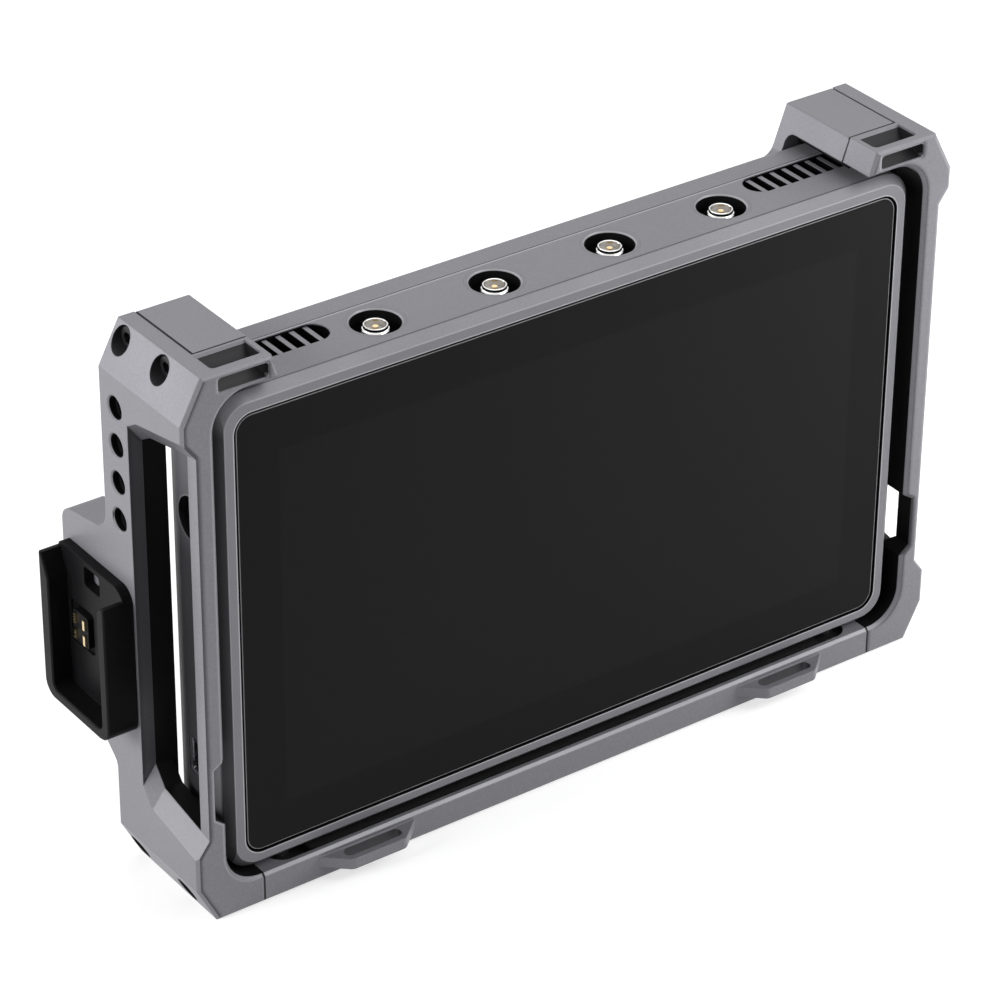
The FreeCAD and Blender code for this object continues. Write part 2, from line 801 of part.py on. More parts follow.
def build_screen():
    """Glass, gasket, panel, backlight and the plate behind them."""
    glass = Piece("cover_glass")
    glass.pad("XZ", [opening_outline(s.glass_gap)], glass_y, s.glass_thickness)
    glass.chamfer(lies_at("Y", glass_y), s.small_break)
    gasket = Piece("glass_gasket")
    gasket_y = glass_y + s.glass_thickness + s.stack_gap / 2
    room = housing_y - s.lip_thickness - gasket_y - s.stack_gap / 2
    gasket.pad("XZ", [opening_outline(s.glass_gap + 0.4), opening_outline(s.lip_reach * 0.85)], gasket_y, room)
    half = s.panel_width / 2
    low = floor_z + s.panel_rise
    sheet = rectangle(-half, low, half, low + s.panel_height)
    panel = Piece("lcd_panel")
    panel.pad("XZ", [sheet], panel_y, s.panel_thickness)
    light = Piece("backlight")
    light.pad("XZ", [sheet], backlight_y, s.backlight_thickness)
    light.pocket("XZ", [rectangle(-half + 1, low + 1, half - 1, low + s.panel_height - 1)], backlight_y, 0.4)
    plate = Piece("mid_plate")
    edge = inner_half - 0.3
    plate.pad("XZ", [rounded(-edge, mid_plate_low_z, edge, mid_plate_high_z, 5)], mid_plate_y, s.mid_plate_thickness)
    plate.pocket("XZ", rings(mid_plate_posts, s.small_screw_radius + 0.2), mid_plate_y - 1, s.mid_plate_thickness + 2)
    around_jack = s.jack_recess_radius + 1.2 + s.moving_gap
    bite = rectangle(-edge - 1, jack_z - around_jack, jack_seat_x + 0.4 + s.moving_gap + 1, jack_z + around_jack)
    plate.pocket("XZ", [bite], mid_plate_y - 1, s.mid_plate_thickness + 2)
    return [glass.body, gasket.body, panel.body, light.body, plate.body]


def turned_screws(label, spots, length):
    """Small screws whose heads face the front."""
    screw = cross_screw(label + "_one", s.small_screw_radius, length, s.small_screw_head_radius, s.small_screw_head)
    return copies(label, screw, spots, (0, 0, 1), 180)


def build_electronics():
    """Board, its posts and screws, chips, radio can and heat sink."""
    half = s.board_width / 2
    spots = [(sign * (half - 6), level) for sign in (-1, 1) for level in (board_low_z + 4, board_high_z - 4)]
    board = Piece("main_board")
    board.pad("XZ", [rectangle(-half, board_low_z, half, board_high_z)], board_y, s.board_thickness)
    post = Piece("standoff_one")
    post.pad("XZ", [hexagon(0, 0, 4.4)], 0, s.standoff_height - s.stack_gap * 2)
    post.pocket("XZ", [circle(0, 0, s.small_screw_radius + s.screw_gap)], 0.5, s.standoff_height)
    board.pocket("XZ", rings(spots, s.small_screw_radius + 0.2), board_y - 1, s.board_thickness + 2)
    standoffs = copies("board_standoffs", post.body, [(x, standoff_y + s.stack_gap, z) for x, z in spots])
    screw = cross_screw("board_screw_one", s.small_screw_radius, 4.2, s.small_screw_head_radius, s.small_screw_head)
    screws = copies("board_screws", screw, [(x, board_back_y + s.stack_gap, z) for x, z in spots])
    middle_z = board_low_z + s.board_height * 0.56
    chip_y = board_back_y + s.stack_gap
    chip = Piece("processor_one")
    chip.pad("XZ", [rounded(-s.chip_side / 2, -s.chip_side / 2, s.chip_side / 2, s.chip_side / 2, 0.5)],
             0, s.chip_thickness)
    chips = copies("processors", chip.body, [(sign * s.chip_spread, chip_y, middle_z) for sign in (-1, 1)])
    sink_y = chip_y + s.chip_thickness + s.stack_gap
    sink = Piece("heat_sink")
    half_sink = s.sink_width / 2
    low_sink = middle_z - s.sink_height / 2
    sink.pad("XZ", [rectangle(-half_sink, low_sink, half_sink, low_sink + s.sink_height)], sink_y, s.sink_base)
    fins = []
    for step in range(-6, 7):
        x = s.fin_pitch * step
        fins.append(rectangle(x - s.fin_thickness / 2, low_sink, x + s.fin_thickness / 2, low_sink + s.sink_height))
    sink.pad("XZ", fins, sink_y + s.sink_base, s.fin_height)
    radio = Piece("radio_module")
    radio_x = half_sink + 8
    radio_low = middle_z - s.radio_height / 2
    radio.pad("XZ", [rounded(radio_x, radio_low, radio_x + s.radio_width, radio_low + s.radio_height, 0.8)],
              chip_y, s.radio_thickness)
    return [board.body, standoffs, screws, chips, sink.body, radio.body]


def build_fans():
    """Two small blowers behind the outlets: cases with an axle, and rotors."""
    half = s.fan_side / 2
    chamber = s.fan_depth - 2 * s.fan_wall
    case = Piece("left_fan_housing")
    case.pad("XZ", [rounded(-half, -half, half, half, 3)], 0, s.fan_depth)
    case.pocket("XZ", [circle(0, 0, s.fan_chamber_radius)], s.fan_wall, chamber)
    case.pocket("XZ", [circle(0, 0, s.fan_intake_radius)], s.fan_depth - s.fan_wall - 0.5, s.fan_wall + 1)
    outlet = rectangle(-half * 0.7, s.fan_wall + 0.3, half * 0.7, s.fan_wall + chamber - 0.3)
    case.pocket("XY", [outlet], half * 0.5, half)
    case.pad("XZ", [circle(0, 0, s.fan_axle_radius)], s.fan_wall / 2, chamber + s.fan_wall / 2 - 0.3)
    rotor = Piece("left_fan_rotor")
    rotor_depth = chamber - 2 * s.rotor_gap
    rotor_start = s.fan_wall + s.rotor_gap
    bore = s.fan_axle_radius + s.fan_running_gap
    rotor.pad("XZ", [circle(0, 0, s.rotor_radius), circle(0, 0, bore)], rotor_start, 0.8)
    rotor.pad("XZ", [circle(0, 0, s.rotor_hub_radius), circle(0, 0, bore)], rotor_start, rotor_depth)
    blade = [(s.rotor_hub_radius - 0.5, -0.4), (s.rotor_radius - 0.3, 1.6), (s.rotor_radius - 0.3, 2.5),
             (s.rotor_hub_radius - 0.5, 0.5)]
    rotor.pad("XZ", [blade], rotor_start, rotor_depth)
    rotor.around("Y", 13)
    fan_z = ceiling_z - s.fan_drop
    fan_y = cover_inner_y - s.stack_gap - s.fan_depth
    pieces = []
    for piece in (case, rotor):
        place(piece.body, -fan_spread, fan_y, fan_z)
        pieces.append(piece.body)
        pieces.append(mirrored(piece.body.Name.replace("left", "right"), piece.body))
    return pieces


def build_grilles():
    """The slatted insert under each outlet."""
    grille = Piece("left_grille")
    low = -(s.grille_inner_end + s.grille_length)
    high = -s.grille_inner_end
    plate_top = inner_ceiling_z - s.stack_gap
    plate_low = plate_top - s.grille_base
    outline = rectangle(low + 0.2, grille_y - 0.7, high + 1.2, grille_y + s.grille_width + 0.35)
    mouth = rectangle(low + 1.5, grille_y + 0.6, high - 0.4, grille_y + s.grille_width - 0.6)
    grille.pad("XY", [outline, mouth], plate_low, s.grille_base)
    slat_top = ceiling_z - s.slat_recess
    slats = []
    slat_pitch = (s.grille_length - s.slat_inner_end - s.slat_outer_end) / 6
    for step in range(7):
        x = high - s.slat_inner_end - slat_pitch * step
        slats.append(rectangle(x - s.slat_width / 2, grille_y + 0.25, x + s.slat_width / 2,
                               grille_y + s.grille_width - 0.25))
    grille.pad("XY", slats, plate_low, slat_top - plate_low)
    return [grille.body, mirrored("right_grille", grille.body)]


def build_antenna_sockets():
    """Four coaxial sockets: body, insulator, centre contact and nut."""
    base = ceiling_z - s.well_depth + s.stack_gap
    body = Piece("antenna_socket_one")
    body.pad("XY", [hexagon(0, 0, s.socket_flange_radius * 1.7)], 0, s.socket_flange_height)
    body.pad("XY", [circle(0, 0, s.socket_barrel_radius)], 0, s.socket_height)
    body.pad("XY", [circle(0, 0, s.socket_stem_radius)], -s.socket_stem_length, s.socket_stem_length)
    bore_floor = s.socket_height - s.socket_bore_depth
    body.pocket("XY", [circle(0, 0, s.socket_bore_radius)], bore_floor, s.socket_bore_depth + 1)
    body.chamfer(ring_at("Z", s.socket_height, s.socket_barrel_radius), s.small_break)
    insulator = Piece("socket_insulator_one")
    insulator.pad("XY", [circle(0, 0, s.socket_bore_radius - s.screw_gap),
                         circle(0, 0, s.socket_pin_radius + s.screw_gap)], bore_floor + 0.02, s.insulator_height)
    pin = Piece("socket_pin_one")
    pin.pad("XY", [circle(0, 0, s.socket_pin_radius)], bore_floor + 0.02, s.socket_pin_height)
    nut = Piece("socket_nut_one")
    nut_top = -1.5 - 2 * s.stack_gap
    nut.pad("XY", [hexagon(0, 0, s.nut_width), circle(0, 0, s.socket_stem_radius + s.screw_gap)],
            nut_top - s.nut_height, s.nut_height)
    spots = [(x, socket_y, base) for x in socket_spots]
    return [copies("antenna_sockets", body.body, spots), copies("socket_insulators", insulator.body, spots),
            copies("socket_pins", pin.body, spots), copies("socket_nuts", nut.body, spots)]


def build_side_sockets():
    """Audio jack and power socket on the left, power button and its switch on the right."""
    jack = Piece("audio_jack")
    half = s.jack_body_side / 2
    body_x = jack_seat_x + 1.4 + s.stack_gap
    jack.pad("YZ", [rounded(jack_y - half, jack_z - half, jack_y + half, jack_z + half, 0.6)], body_x,
             s.jack_body_length)
    jack.pad("YZ", [circle(jack_y, jack_z, s.jack_collar_radius)], jack_seat_x - 1.0, 3.0)
    jack.pocket("YZ", [circle(jack_y, jack_z, s.jack_bore_radius)], jack_seat_x - 2, s.jack_body_length)
    jack.chamfer(ring_at("X", jack_seat_x - 1.0, s.jack_collar_radius), s.small_break)
    usb = Piece("usb_socket")
    shell = rounded(usb_y - s.usb_thickness / 2, usb_z - s.usb_width / 2, usb_y + s.usb_thickness / 2,
                    usb_z + s.usb_width / 2, s.usb_thickness * 0.4)
    wall = s.usb_wall
    hollow = rounded(usb_y - s.usb_thickness / 2 + wall, usb_z - s.usb_width / 2 + wall,
                     usb_y + s.usb_thickness / 2 - wall, usb_z + s.usb_width / 2 - wall, s.usb_thickness * 0.3)
    mouth_x = -half_monitor + 0.5
    usb.pad("YZ", [shell], mouth_x, s.usb_length)
    usb.pocket("YZ", [hollow], mouth_x - 1, s.usb_length - 1)
    tongue = rectangle(usb_y - 0.35, usb_z - 3.3, usb_y + 0.35, usb_z + 3.3)
    usb.pad("YZ", [tongue], mouth_x + 1, s.usb_length - 2)
    switch = Piece("power_switch")
    switch_x = s.board_width / 2 - s.switch_length
    side = s.switch_side / 2
    low_y = board_back_y + s.stack_gap
    switch.pad("YZ", [rectangle(low_y, button_z - side, low_y + s.usb_thickness + 0.3, button_z + side)], switch_x,
               s.switch_length)
    button = Piece("power_button")
    cap_x = half_monitor + s.button_proud
    flange_x = inner_half - s.moving_gap - s.button_flange
    stem_x = s.board_width / 2 + s.button_travel + 0.15
    button.pad("YZ", [circle(button_y, button_z, s.button_radius)], flange_x, cap_x - flange_x)
    button.chamfer(ring_at("X", cap_x, s.button_radius), s.small_break)
    button.pad("YZ", [circle(button_y, button_z, s.button_flange_radius)], flange_x, s.button_flange)
    button.pad("YZ", [circle(button_y, button_z, s.button_stem_radius)], stem_x, flange_x - stem_x)
    return [jack.body, usb.body, switch.body, button.body]


def build_inserts():
    """Threaded bushes in the bottom of the monitor and the screws through the bar."""
    insert = Piece("base_insert_one")
    insert.pad("XY", [circle(0, 0, 3.6 - 0.05), circle(0, 0, s.base_screw_radius + s.screw_gap)], 0.1, 6.0)
    spots = [(sign * s.monitor_screw_spread, 0, floor_z) for sign in (-1, 1)]
    inserts = copies("base_inserts", insert.body, spots)
    screw = socket_screw("monitor_screw_one", s.base_screw_radius, s.bar_height - 3.4 + 5.5, s.base_screw_head_radius,
                         3.0, 2.5)
    screws = copies("monitor_screws", screw, [(spot[0], 0, 3.4) for spot in spots], (0, 1, 0), -90)
    return [inserts, screws]


window_high = SimpleNamespace(front=roof_z - s.window_high_front, bend=roof_z - s.window_high_bend,
                              rear=roof_z - s.window_high_rear)
jaw_screw_z = roof_z - s.jaw_screw_drop
jaw_screw_seat = roof_x - s.screw_seat_depth
bar_screw_seat = outer_x - s.foot_chamfer_in - s.screw_seat_depth
jaw_screw_rows = [front + s.jaw_screw_front, front + s.jaw_screw_rear]
bar_screw_rows = [front + s.bar_screw_front, front + s.bar_screw_rear]


def window_outline(rise, low_front):
    """The side window in the YZ plane; rise draws its top and bottom edges in."""
    ahead = front - 1
    return [(ahead, s.window_low_front + low_front), (front + s.window_bend, s.window_low_bend + rise),
            (front + s.window_rear, s.window_low_rear + rise), (front + s.window_rear, window_high.rear - rise),
            (front + s.window_bend, window_high.bend - rise), (ahead, window_high.front - low_front)]


def build_side_frames():
    """Left and right plates of the cage; the left one also carries the battery block."""
    core = Piece("frame_core")
    foot_x = outer_x - s.foot_chamfer_in
    plate = [(-foot_x, 0), (-bar_half, 0), (-bar_half, s.bar_height), (-pillar_x, s.bar_height, s.opening_round),
             (-pillar_x, roof_z), (-roof_x, roof_z), (-outer_x, roof_z - s.roof_chamfer_down),
             (-outer_x, s.foot_chamfer_up)]
    core.pad("XZ", [plate], front, frame_depth)
    inside = pillar_x + 2
    arm = [(-inside, arm_z - 12), (-pillar_x, arm_z - 12), (-pillar_x, arm_z, s.opening_round),
           (-arm_end + s.arm_end_lean, arm_z), (-arm_end, roof_z), (-inside, roof_z)]
    core.pad("XZ", [arm], front, s.arm_depth)
    core.chamfer(lambda edge: lies_at("Y", front)(edge) and not lies_at("X", -bar_half)(edge), s.edge_break)
    rail_low = s.bar_height + s.opening_round
    rail = [(-pillar_x - 1, rail_low), (-rail_x, rail_low + 2), (-rail_x, roof_z), (-pillar_x - 1, roof_z)]
    core.pad("XZ", [rail], front + s.window_rear, frame_depth - s.window_rear)
    ledge = [(-pillar_x - 1, arm_z), (-rail_x, arm_z), (-rail_x, roof_z), (-pillar_x - 1, roof_z)]
    core.pad("XZ", [ledge], front + s.arm_depth - 0.5, s.window_rear - s.arm_depth + 1.0)
    core.funnel("YZ", window_outline(0, 0), -outer_x, window_outline(s.bevel_rise, s.bevel_rise), -outer_x + s.pillar_recess)
    through = window_outline(s.bevel_rise, s.bevel_rise)
    slope = (s.window_low_bend - s.window_low_front) / (s.window_bend + 1)
    start = front + s.pillar_depth
    low = s.window_low_front + s.bevel_rise + slope * (s.pillar_depth + 1)
    high_slope = (window_high.front - window_high.bend) / (s.window_bend + 1)
    high = window_high.front - s.bevel_rise - high_slope * (s.pillar_depth + 1)
    core.pocket("YZ", [[(start, low)] + through[1:5] + [(start, high)]], -outer_x + s.pillar_recess - 0.1, s.frame_wall)
    pillar_face = -outer_x + s.pillar_recess
    wedge = [(pillar_face, start - 0.3), (-pillar_x, start - 0.3), (-pillar_x, start + s.pillar_wedge), (pillar_face, start)]
    core.pad("XY", [wedge], s.window_low_front, window_high.front - s.window_low_front)
    notch = [(-pillar_x + 1, s.notch_low - s.notch_slant), (-pillar_x + 1, s.notch_high + s.notch_slant * 0.5),
             (-pillar_x - s.notch_reach, s.notch_high - s.notch_slant), (-pillar_x - s.notch_reach, s.notch_low + 1.5)]
    core.pocket("XZ", [notch], front - 1, s.pillar_depth + s.pillar_wedge + 1.5)
    lip_z = roof_z - s.passage_roof
    floor_level = arm_z + s.passage_floor
    passage = [(front - 1, floor_level), (front + 6.2, floor_level, 8.6), (front + s.passage_end + 0.4, roof_z + 0.7),
               (front + s.passage_setback, roof_z + 0.7), (front + s.passage_setback, lip_z), (front - 1, lip_z)]
    core.pocket("YZ", [passage], -arm_end - s.passage_inset - s.passage_width, s.passage_width)
    jaw_spots = [(y, jaw_screw_z) for y in jaw_screw_rows]
    core.pocket("YZ", rings(jaw_spots, s.jaw_screw_radius + 0.2), -outer_x, s.frame_wall + 2)
    seat = s.jaw_screw_head_radius + s.counterbore_gap
    core.pocket("YZ", rings(jaw_spots, seat), -outer_x - 1, outer_x + 1 - jaw_screw_seat)
    bar_spots = [(y, s.bar_screw_rise) for y in bar_screw_rows]
    core.pocket("YZ", rings(bar_spots, s.bar_screw_radius + 0.2), -outer_x, outer_x - bar_half + 1)
    seat = s.bar_screw_head_radius + s.counterbore_gap
    core.pocket("YZ", rings(bar_spots, seat), -outer_x - 1, outer_x + 1 - bar_screw_seat)
    row = [(front + s.row_setback, roof_z - s.row_first_drop - s.row_pitch * step) for step in range(4)]
    core.pocket("YZ", rings(row, s.thread_radius), -outer_x - 1, s.frame_wall + 2)
    core.chamfer(ring_at("X", -outer_x, s.thread_radius), s.row_mouth)
    right = mirrored("right_side_frame", core.body)
    back = rear + s.block_back
    side = [(rear - 3, s.block_root_low), (rear, s.block_root_low), (rear, s.block_low_front - 2, 3),
            (back, s.block_low_rear, s.block_round), (back, s.block_top - s.block_top_fall, s.block_round),
            (rear + 0.2, s.block_top, 5), (rear, s.block_root_high), (rear - 3, s.block_root_high)]
    block = Piece("battery_block")
    block.pad("YZ", [side], -outer_x, s.frame_wall)
    joined = combined("Fuse", "left_frame_joined", core.body, block.body)
    holes = Piece("plate_screw_holes")
    for y, z in plate_screw_spots:
        holes.pad("YZ", [circle(y, z, s.plate_screw_radius + 0.2)], -outer_x - 1, s.frame_wall + 2)
        seat = s.plate_screw_head_radius + s.counterbore_gap
        holes.pad("YZ", [circle(y, z, seat)], -rail_x - s.plate_screw_head - 0.4, s.plate_screw_head + 2)
    left = combined("Cut", "left_side_frame", joined, holes.body)
    return [left, right]


plate_screw_spots = [(rear + s.block_back / 2, s.plate_low + 6), (rear + s.block_back / 2, s.plate_high - 10.0)]


def build_battery_plate():
    """The slide-in tray on the left side with its contact block, blades and screws."""
    tray = Piece("battery_plate")
    rim_x = -outer_x - s.plate_stand
    y0, y1 = front + s.plate_front, front + s.plate_back
    floor_face = -outer_x - s.plate_floor
    base = [(y0, s.plate_low, s.plate_round), (y1, s.plate_low, s.plate_round), (y1, s.plate_high, 1.0),
            (y0, s.plate_high, s.plate_round)]
    tray.pad("YZ", [base], floor_face, s.plate_floor - s.stack_gap)
    rim = [(y0, s.plate_low, s.plate_round), (y1, s.plate_low, s.plate_round), (y1, s.plate_wall_high),
           (y1 - s.plate_back_wall + s.lead_in, s.plate_wall_high),
           (y1 - s.plate_back_wall, s.plate_wall_high - s.lead_in_drop),
           (y1 - s.plate_back_wall, s.plate_low + s.plate_low_wall, 2.0),
           (y0 + s.plate_front_wall, s.plate_low + s.plate_low_wall, 2.0),
           (y0 + s.plate_front_wall, s.plate_wall_high - 3.0), (y0 + 1.2, s.plate_wall_high - 1.5),
           (y0, s.plate_wall_high - 1.5)]
    tray.pad("YZ", [rim], rim_x, s.plate_stand - s.plate_floor)
    tray.chamfer(lies_at("X", rim_x), s.small_break)
    hole_y = front + s.latch_hole_centre
    hole_top = s.plate_high - s.latch_hole_top
    latch = rounded(hole_y - s.latch_hole_width / 2, hole_top - s.latch_hole_height, hole_y + s.latch_hole_width / 2,
                    hole_top, 1.0)
    tray.pocket("YZ", [latch], floor_face - 1, s.plate_floor + 2)
    c0, c1 = front + s.contact_front, front + s.contact_back
    gap = s.contact_gap
    well = rounded(c0 - gap, s.contact_low - gap, c1 + gap, s.contact_high + gap, 0.8)
    tray.pocket("YZ", [well], floor_face - 1, s.plate_floor + 2)
    dish = rounded(c0 - 0.9, s.contact_low - 1.6, c1 + 2.4, s.contact_high + 1.2, 1.2)
    tray.pocket("YZ", [dish], floor_face - 1, 1.7)
    for y, z in plate_screw_spots:
        tray.pocket("YZ", [circle(y, z, s.plate_screw_radius + s.screw_gap)], -outer_x - 1.6, 3)
    block = Piece("contact_block")
    block_x = floor_face - s.contact_stand + 0.7
    block.pad("YZ", [rounded(c0, s.contact_low, c1, s.contact_high, 0.7)], block_x, -outer_x - s.stack_gap - block_x)
    middle_y = (c0 + c1) / 2
    middle_z = (s.contact_low + s.contact_high) / 2
    spots = [(middle_y + across * s.blade_spread / 2, middle_z + up * s.blade_step / 2)
             for across in (-1, 1) for up in (-1, 1)]
    for y, z in spots:
        slit = rectangle(y - s.blade_thickness / 2 - 0.05, z - s.blade_length / 2 - 0.05,
                         y + s.blade_thickness / 2 + 0.05, z + s.blade_length / 2 + 0.05)
        block.pocket("YZ", [slit], block_x - 1, 2.6)
    blade = Piece("contact_blade_one")
    blade.pad("YZ", [rectangle(-s.blade_thickness / 2, -s.blade_length / 2, s.blade_thickness / 2, s.blade_length / 2)],
              -s.blade_stand, 1.5 + s.blade_stand)
    blades = copies("contact_blades", blade.body, [(block_x, y, z) for y, z in spots])
    seat_x = -rail_x - s.plate_screw_head - 0.4
    screw = socket_screw("plate_screw_one", s.plate_screw_radius, s.frame_wall - s.plate_screw_head - 0.4 + 1.2,
                         s.plate_screw_head_radius, s.plate_screw_head, 2.0)
    screws = copies("plate_screws", screw, [(seat_x, y, z) for y, z in plate_screw_spots], (0, 0, 1), 180)
    return [tray.body, block.body, blades, screws]


def lug_outline(centre):
    """One strap lug seen from above, with swept roots."""
    edge = front + s.edge_break
    root, tip = s.lug_base / 2, s.lug_tip / 2
    ahead = front - s.lug_reach
    return [(centre - root - 3, edge + 1), (centre - root - 3, edge), (centre - root, edge, 4), (centre - tip, ahead, 2),
            (centre + tip, ahead, 2), (centre + root, edge, 4), (centre + root + 3, edge), (centre + root + 3, edge + 1)]


def build_bottom_bar():
    """The bar between the feet: strap lugs, pocket, thread and screw holes; its pad and screws."""
    bar = Piece("bottom_bar")
    half = bar_half - s.seam / 2
    section = rectangle(front, 0, rear, s.bar_height)
    bar.pad("YZ", [section], -half, half * 2)
    bar.chamfer(lambda edge: lies_at("Y", front)(edge) and edge.Length > half.value, s.edge_break)
    for sign in (-1, 1):
        centre = sign * s.lug_spread
        bar.pad("XY", [lug_outline(centre)], s.lug_rise, s.lug_thickness)
        slot_y = front - s.lug_slot_start
        slot = rounded(centre - s.lug_slot_length / 2, slot_y - s.lug_slot_width, centre + s.lug_slot_length / 2, slot_y,
                       s.lug_slot_width / 2 - 0.1)
        bar.pocket("XY", [slot], s.lug_rise - 1, s.lug_thickness + 2)
    pocket_end = bar_half - s.pocket_end_in
    pocket_y = front + s.pocket_setback
    pocket_floor = s.bar_height - s.pocket_depth
    trough = rounded(-pocket_end, pocket_y, pocket_end, pocket_y + s.pocket_width, s.pocket_round)
    bar.pocket("XY", [trough], pocket_floor, s.pocket_depth + 1)
    bar.pocket("XY", [circle(0, 0, s.thread_radius)], -1, s.thread_depth + 1)
    for sign in (-1, 1):
        x = sign * s.monitor_screw_spread
        bar.pocket("XY", [circle(x, 0, s.base_screw_radius + 0.2)], -1, s.bar_height + 2)
        bar.pocket("XY", [circle(x, 0, s.base_screw_head_radius + s.counterbore_gap)], -1, 4.4)
        for y in bar_screw_rows:
            depth = s.bar_screw_length - (bar_screw_seat - bar_half) + 1
            level = -bar_half - 1 if sign < 0 else bar_half - depth
            bar.pocket("YZ", [circle(y, s.bar_screw_rise, s.bar_screw_radius + s.screw_gap)], level, depth + 1)
    screw_x = pocket_end - s.pad_screw_in
    screw_y = pocket_y + s.pocket_width / 2
    for sign in (-1, 1):
        bar.pocket("XY", [circle(sign * screw_x, screw_y, s.small_screw_radius + s.screw_gap)], pocket_floor - 4, 5)
    pad = Piece("bar_pad")
    gap = s.pad_gap
    strip_end = pocket_end - gap
    strip = rounded(-strip_end, pocket_y + gap, strip_end, pocket_y + s.pocket_width - gap, s.pocket_round - gap)
    base = pocket_floor + s.stack_gap
    pad.pad("XY", [strip], base, s.pad_ear_thickness)
    high_end = pocket_end - s.pad_ear
    crown = rounded(-high_end, pocket_y + gap, high_end, pocket_y + s.pocket_width - gap, 1.0)
    pad.pad("XY", [crown], base, floor_z - s.stack_gap - base)
    for sign in (-1, 1):
        pad.pocket("XY", [circle(sign * screw_x, screw_y, s.small_screw_radius + 0.2)], base - 1, 3)
    screw = cross_screw("pad_screw_one", s.small_screw_radius, 4.0, s.small_screw_head_radius, s.small_screw_head)
    spots = [(sign * screw_x, screw_y, base + s.pad_ear_thickness + s.stack_gap) for sign in (-1, 1)]
    screws = copies("pad_screws", screw, spots, (1, 0, 0), 90)
    return [bar.body, pad.body, screws]


def build_clamps():
    """The two jaws over the top rear edge, their rubber pads and all cage screws."""
    jaw = Piece("left_clamp_jaw")
    start = front + s.arm_depth + s.seam
    toe_low = roof_z - s.jaw_drop
    toe_x = -arm_end + s.jaw_lean + s.jaw_toe
    outline = [(-jaw_x, roof_z), (-jaw_x, toe_low, 2), (toe_x, toe_low, 1.5), (toe_x, roof_z - s.jaw_toe_drop - 1.0, 1.5),
               (-arm_end + s.jaw_lean, roof_z - s.jaw_toe_drop, 4), (-arm_end, roof_z)]
    jaw.pad("XZ", [outline], start, rear - start)
    leg_y = rear - s.jaw_leg
    under_z = roof_z - s.jaw_top
    arch = [(start - 1, toe_low - 1), (leg_y, toe_low - 1), (leg_y, under_z, s.jaw_arch_round), (start - 1, under_z)]
    jaw.pocket("YZ", [arch], -jaw_x - 1, s.monitor_width / 4)
    jaw.chamfer(lambda edge: lies_at("Z", roof_z)(edge), s.small_break)
    hole_depth = s.jaw_screw_length - (jaw_screw_seat - jaw_x) + 1
    for y in jaw_screw_rows:
        jaw.pocket("YZ", [circle(y, jaw_screw_z, s.jaw_screw_radius + s.screw_gap)], -jaw_x - 1, hole_depth + 1)
    pad = Piece("left_jaw_pad")
    gap = s.stack_gap
    pad_top = under_z - gap
    pad_low = ceiling_z + gap
    pad_front = start + 1
    pad_back = leg_y - gap
    profile = [(pad_front, pad_low), (back_y + gap, pad_low), (back_y + gap, toe_low + 2), (pad_back, toe_low + 2),
               (pad_back, pad_top, s.jaw_arch_round), (pad_front, pad_top)]
    pad_x = -jaw_x + 1.5
    pad.pad("YZ", [profile], pad_x, jaw_x - 1.5 - arm_end - 1.0)
    jaw_screw = socket_screw("jaw_screw_one", s.jaw_screw_radius, s.jaw_screw_length, s.jaw_screw_head_radius,
                             s.jaw_screw_head, 2.5)
    jaw_left = copies("jaw_screws_left", jaw_screw, [(-jaw_screw_seat, y, jaw_screw_z) for y in jaw_screw_rows])
    jaw_right = mirrored("jaw_screws_right", jaw_left)
    bar_screw = socket_screw("bar_screw_one", s.bar_screw_radius, s.bar_screw_length, s.bar_screw_head_radius,
                             s.bar_screw_head, 2.5)
    bar_left = copies("bar_screws_left", bar_screw, [(-bar_screw_seat, y, s.bar_screw_rise) for y in bar_screw_rows])
    bar_right = mirrored("bar_screws_right", bar_left)
    return [jaw.body, mirrored("right_clamp_jaw", jaw.body), pad.body, mirrored("right_jaw_pad", pad.body),
            gathered("clamp_jaw_screws", [jaw_left, jaw_right]), gathered("bottom_bar_screws", [bar_left, bar_right])]


def build_shell_screws():
    """Screws of the rear cover and of the plate behind the screen."""
    screw = cross_screw("cover_screw_one", s.small_screw_radius, 7.0, s.small_screw_head_radius,
                        s.small_screw_head - 0.2)
    seat = back_y - s.small_screw_head
    cover = copies("cover_screws", screw, [(x, seat, z) for x, z in cover_posts])
    plate = turned_screws("mid_plate_screws", [(x, mid_plate_y - s.stack_gap, z) for x, z in mid_plate_posts], 4.5)
    return [cover, plate]


def check_and_write(pieces):
    """Stop on any broken object, then write one file for each sub-part."""
    document.recompute()
    for item in document.Objects:
        bad = [word for word in item.State if word in ("Invalid", "Error")]
        if bad:
            raise RuntimeError(f"{item.Label}: {bad}")
    for item in document.Objects:
        if item.TypeId == "PartDesign::Pocket":
            before = item.BaseFeature.Shape.Volume
            if before - item.Shape.Volume < 1e-6:
                raise RuntimeError(f"{item.Label} takes nothing away")
    os.makedirs("parts", exist_ok=True)
    for piece in pieces:
        shape = piece.Shape
        if shape.isNull() or not shape.isValid():
            raise RuntimeError(f"{piece.Label} has no valid shape")
        shape.exportStep(f"parts/{piece.Label}.step")
        print(piece.Label, len(shape.Solids), round(shape.Volume))


everything = [build_front_bezel(), build_middle_housing(), build_rear_cover()]
for build in (build_screen, build_electronics, build_fans, build_grilles, build_antenna_sockets, build_side_sockets,
              build_inserts, build_side_frames, build_battery_plate, build_bottom_bar, build_clamps,
              build_shell_screws):
    everything.extend(build())
check_and_write(everything)
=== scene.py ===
import json
import math

import bmesh
import bpy
import numpy as np
from bpy.props import FloatProperty, FloatVectorProperty, IntProperty, PointerProperty
from mathutils import Matrix, Vector


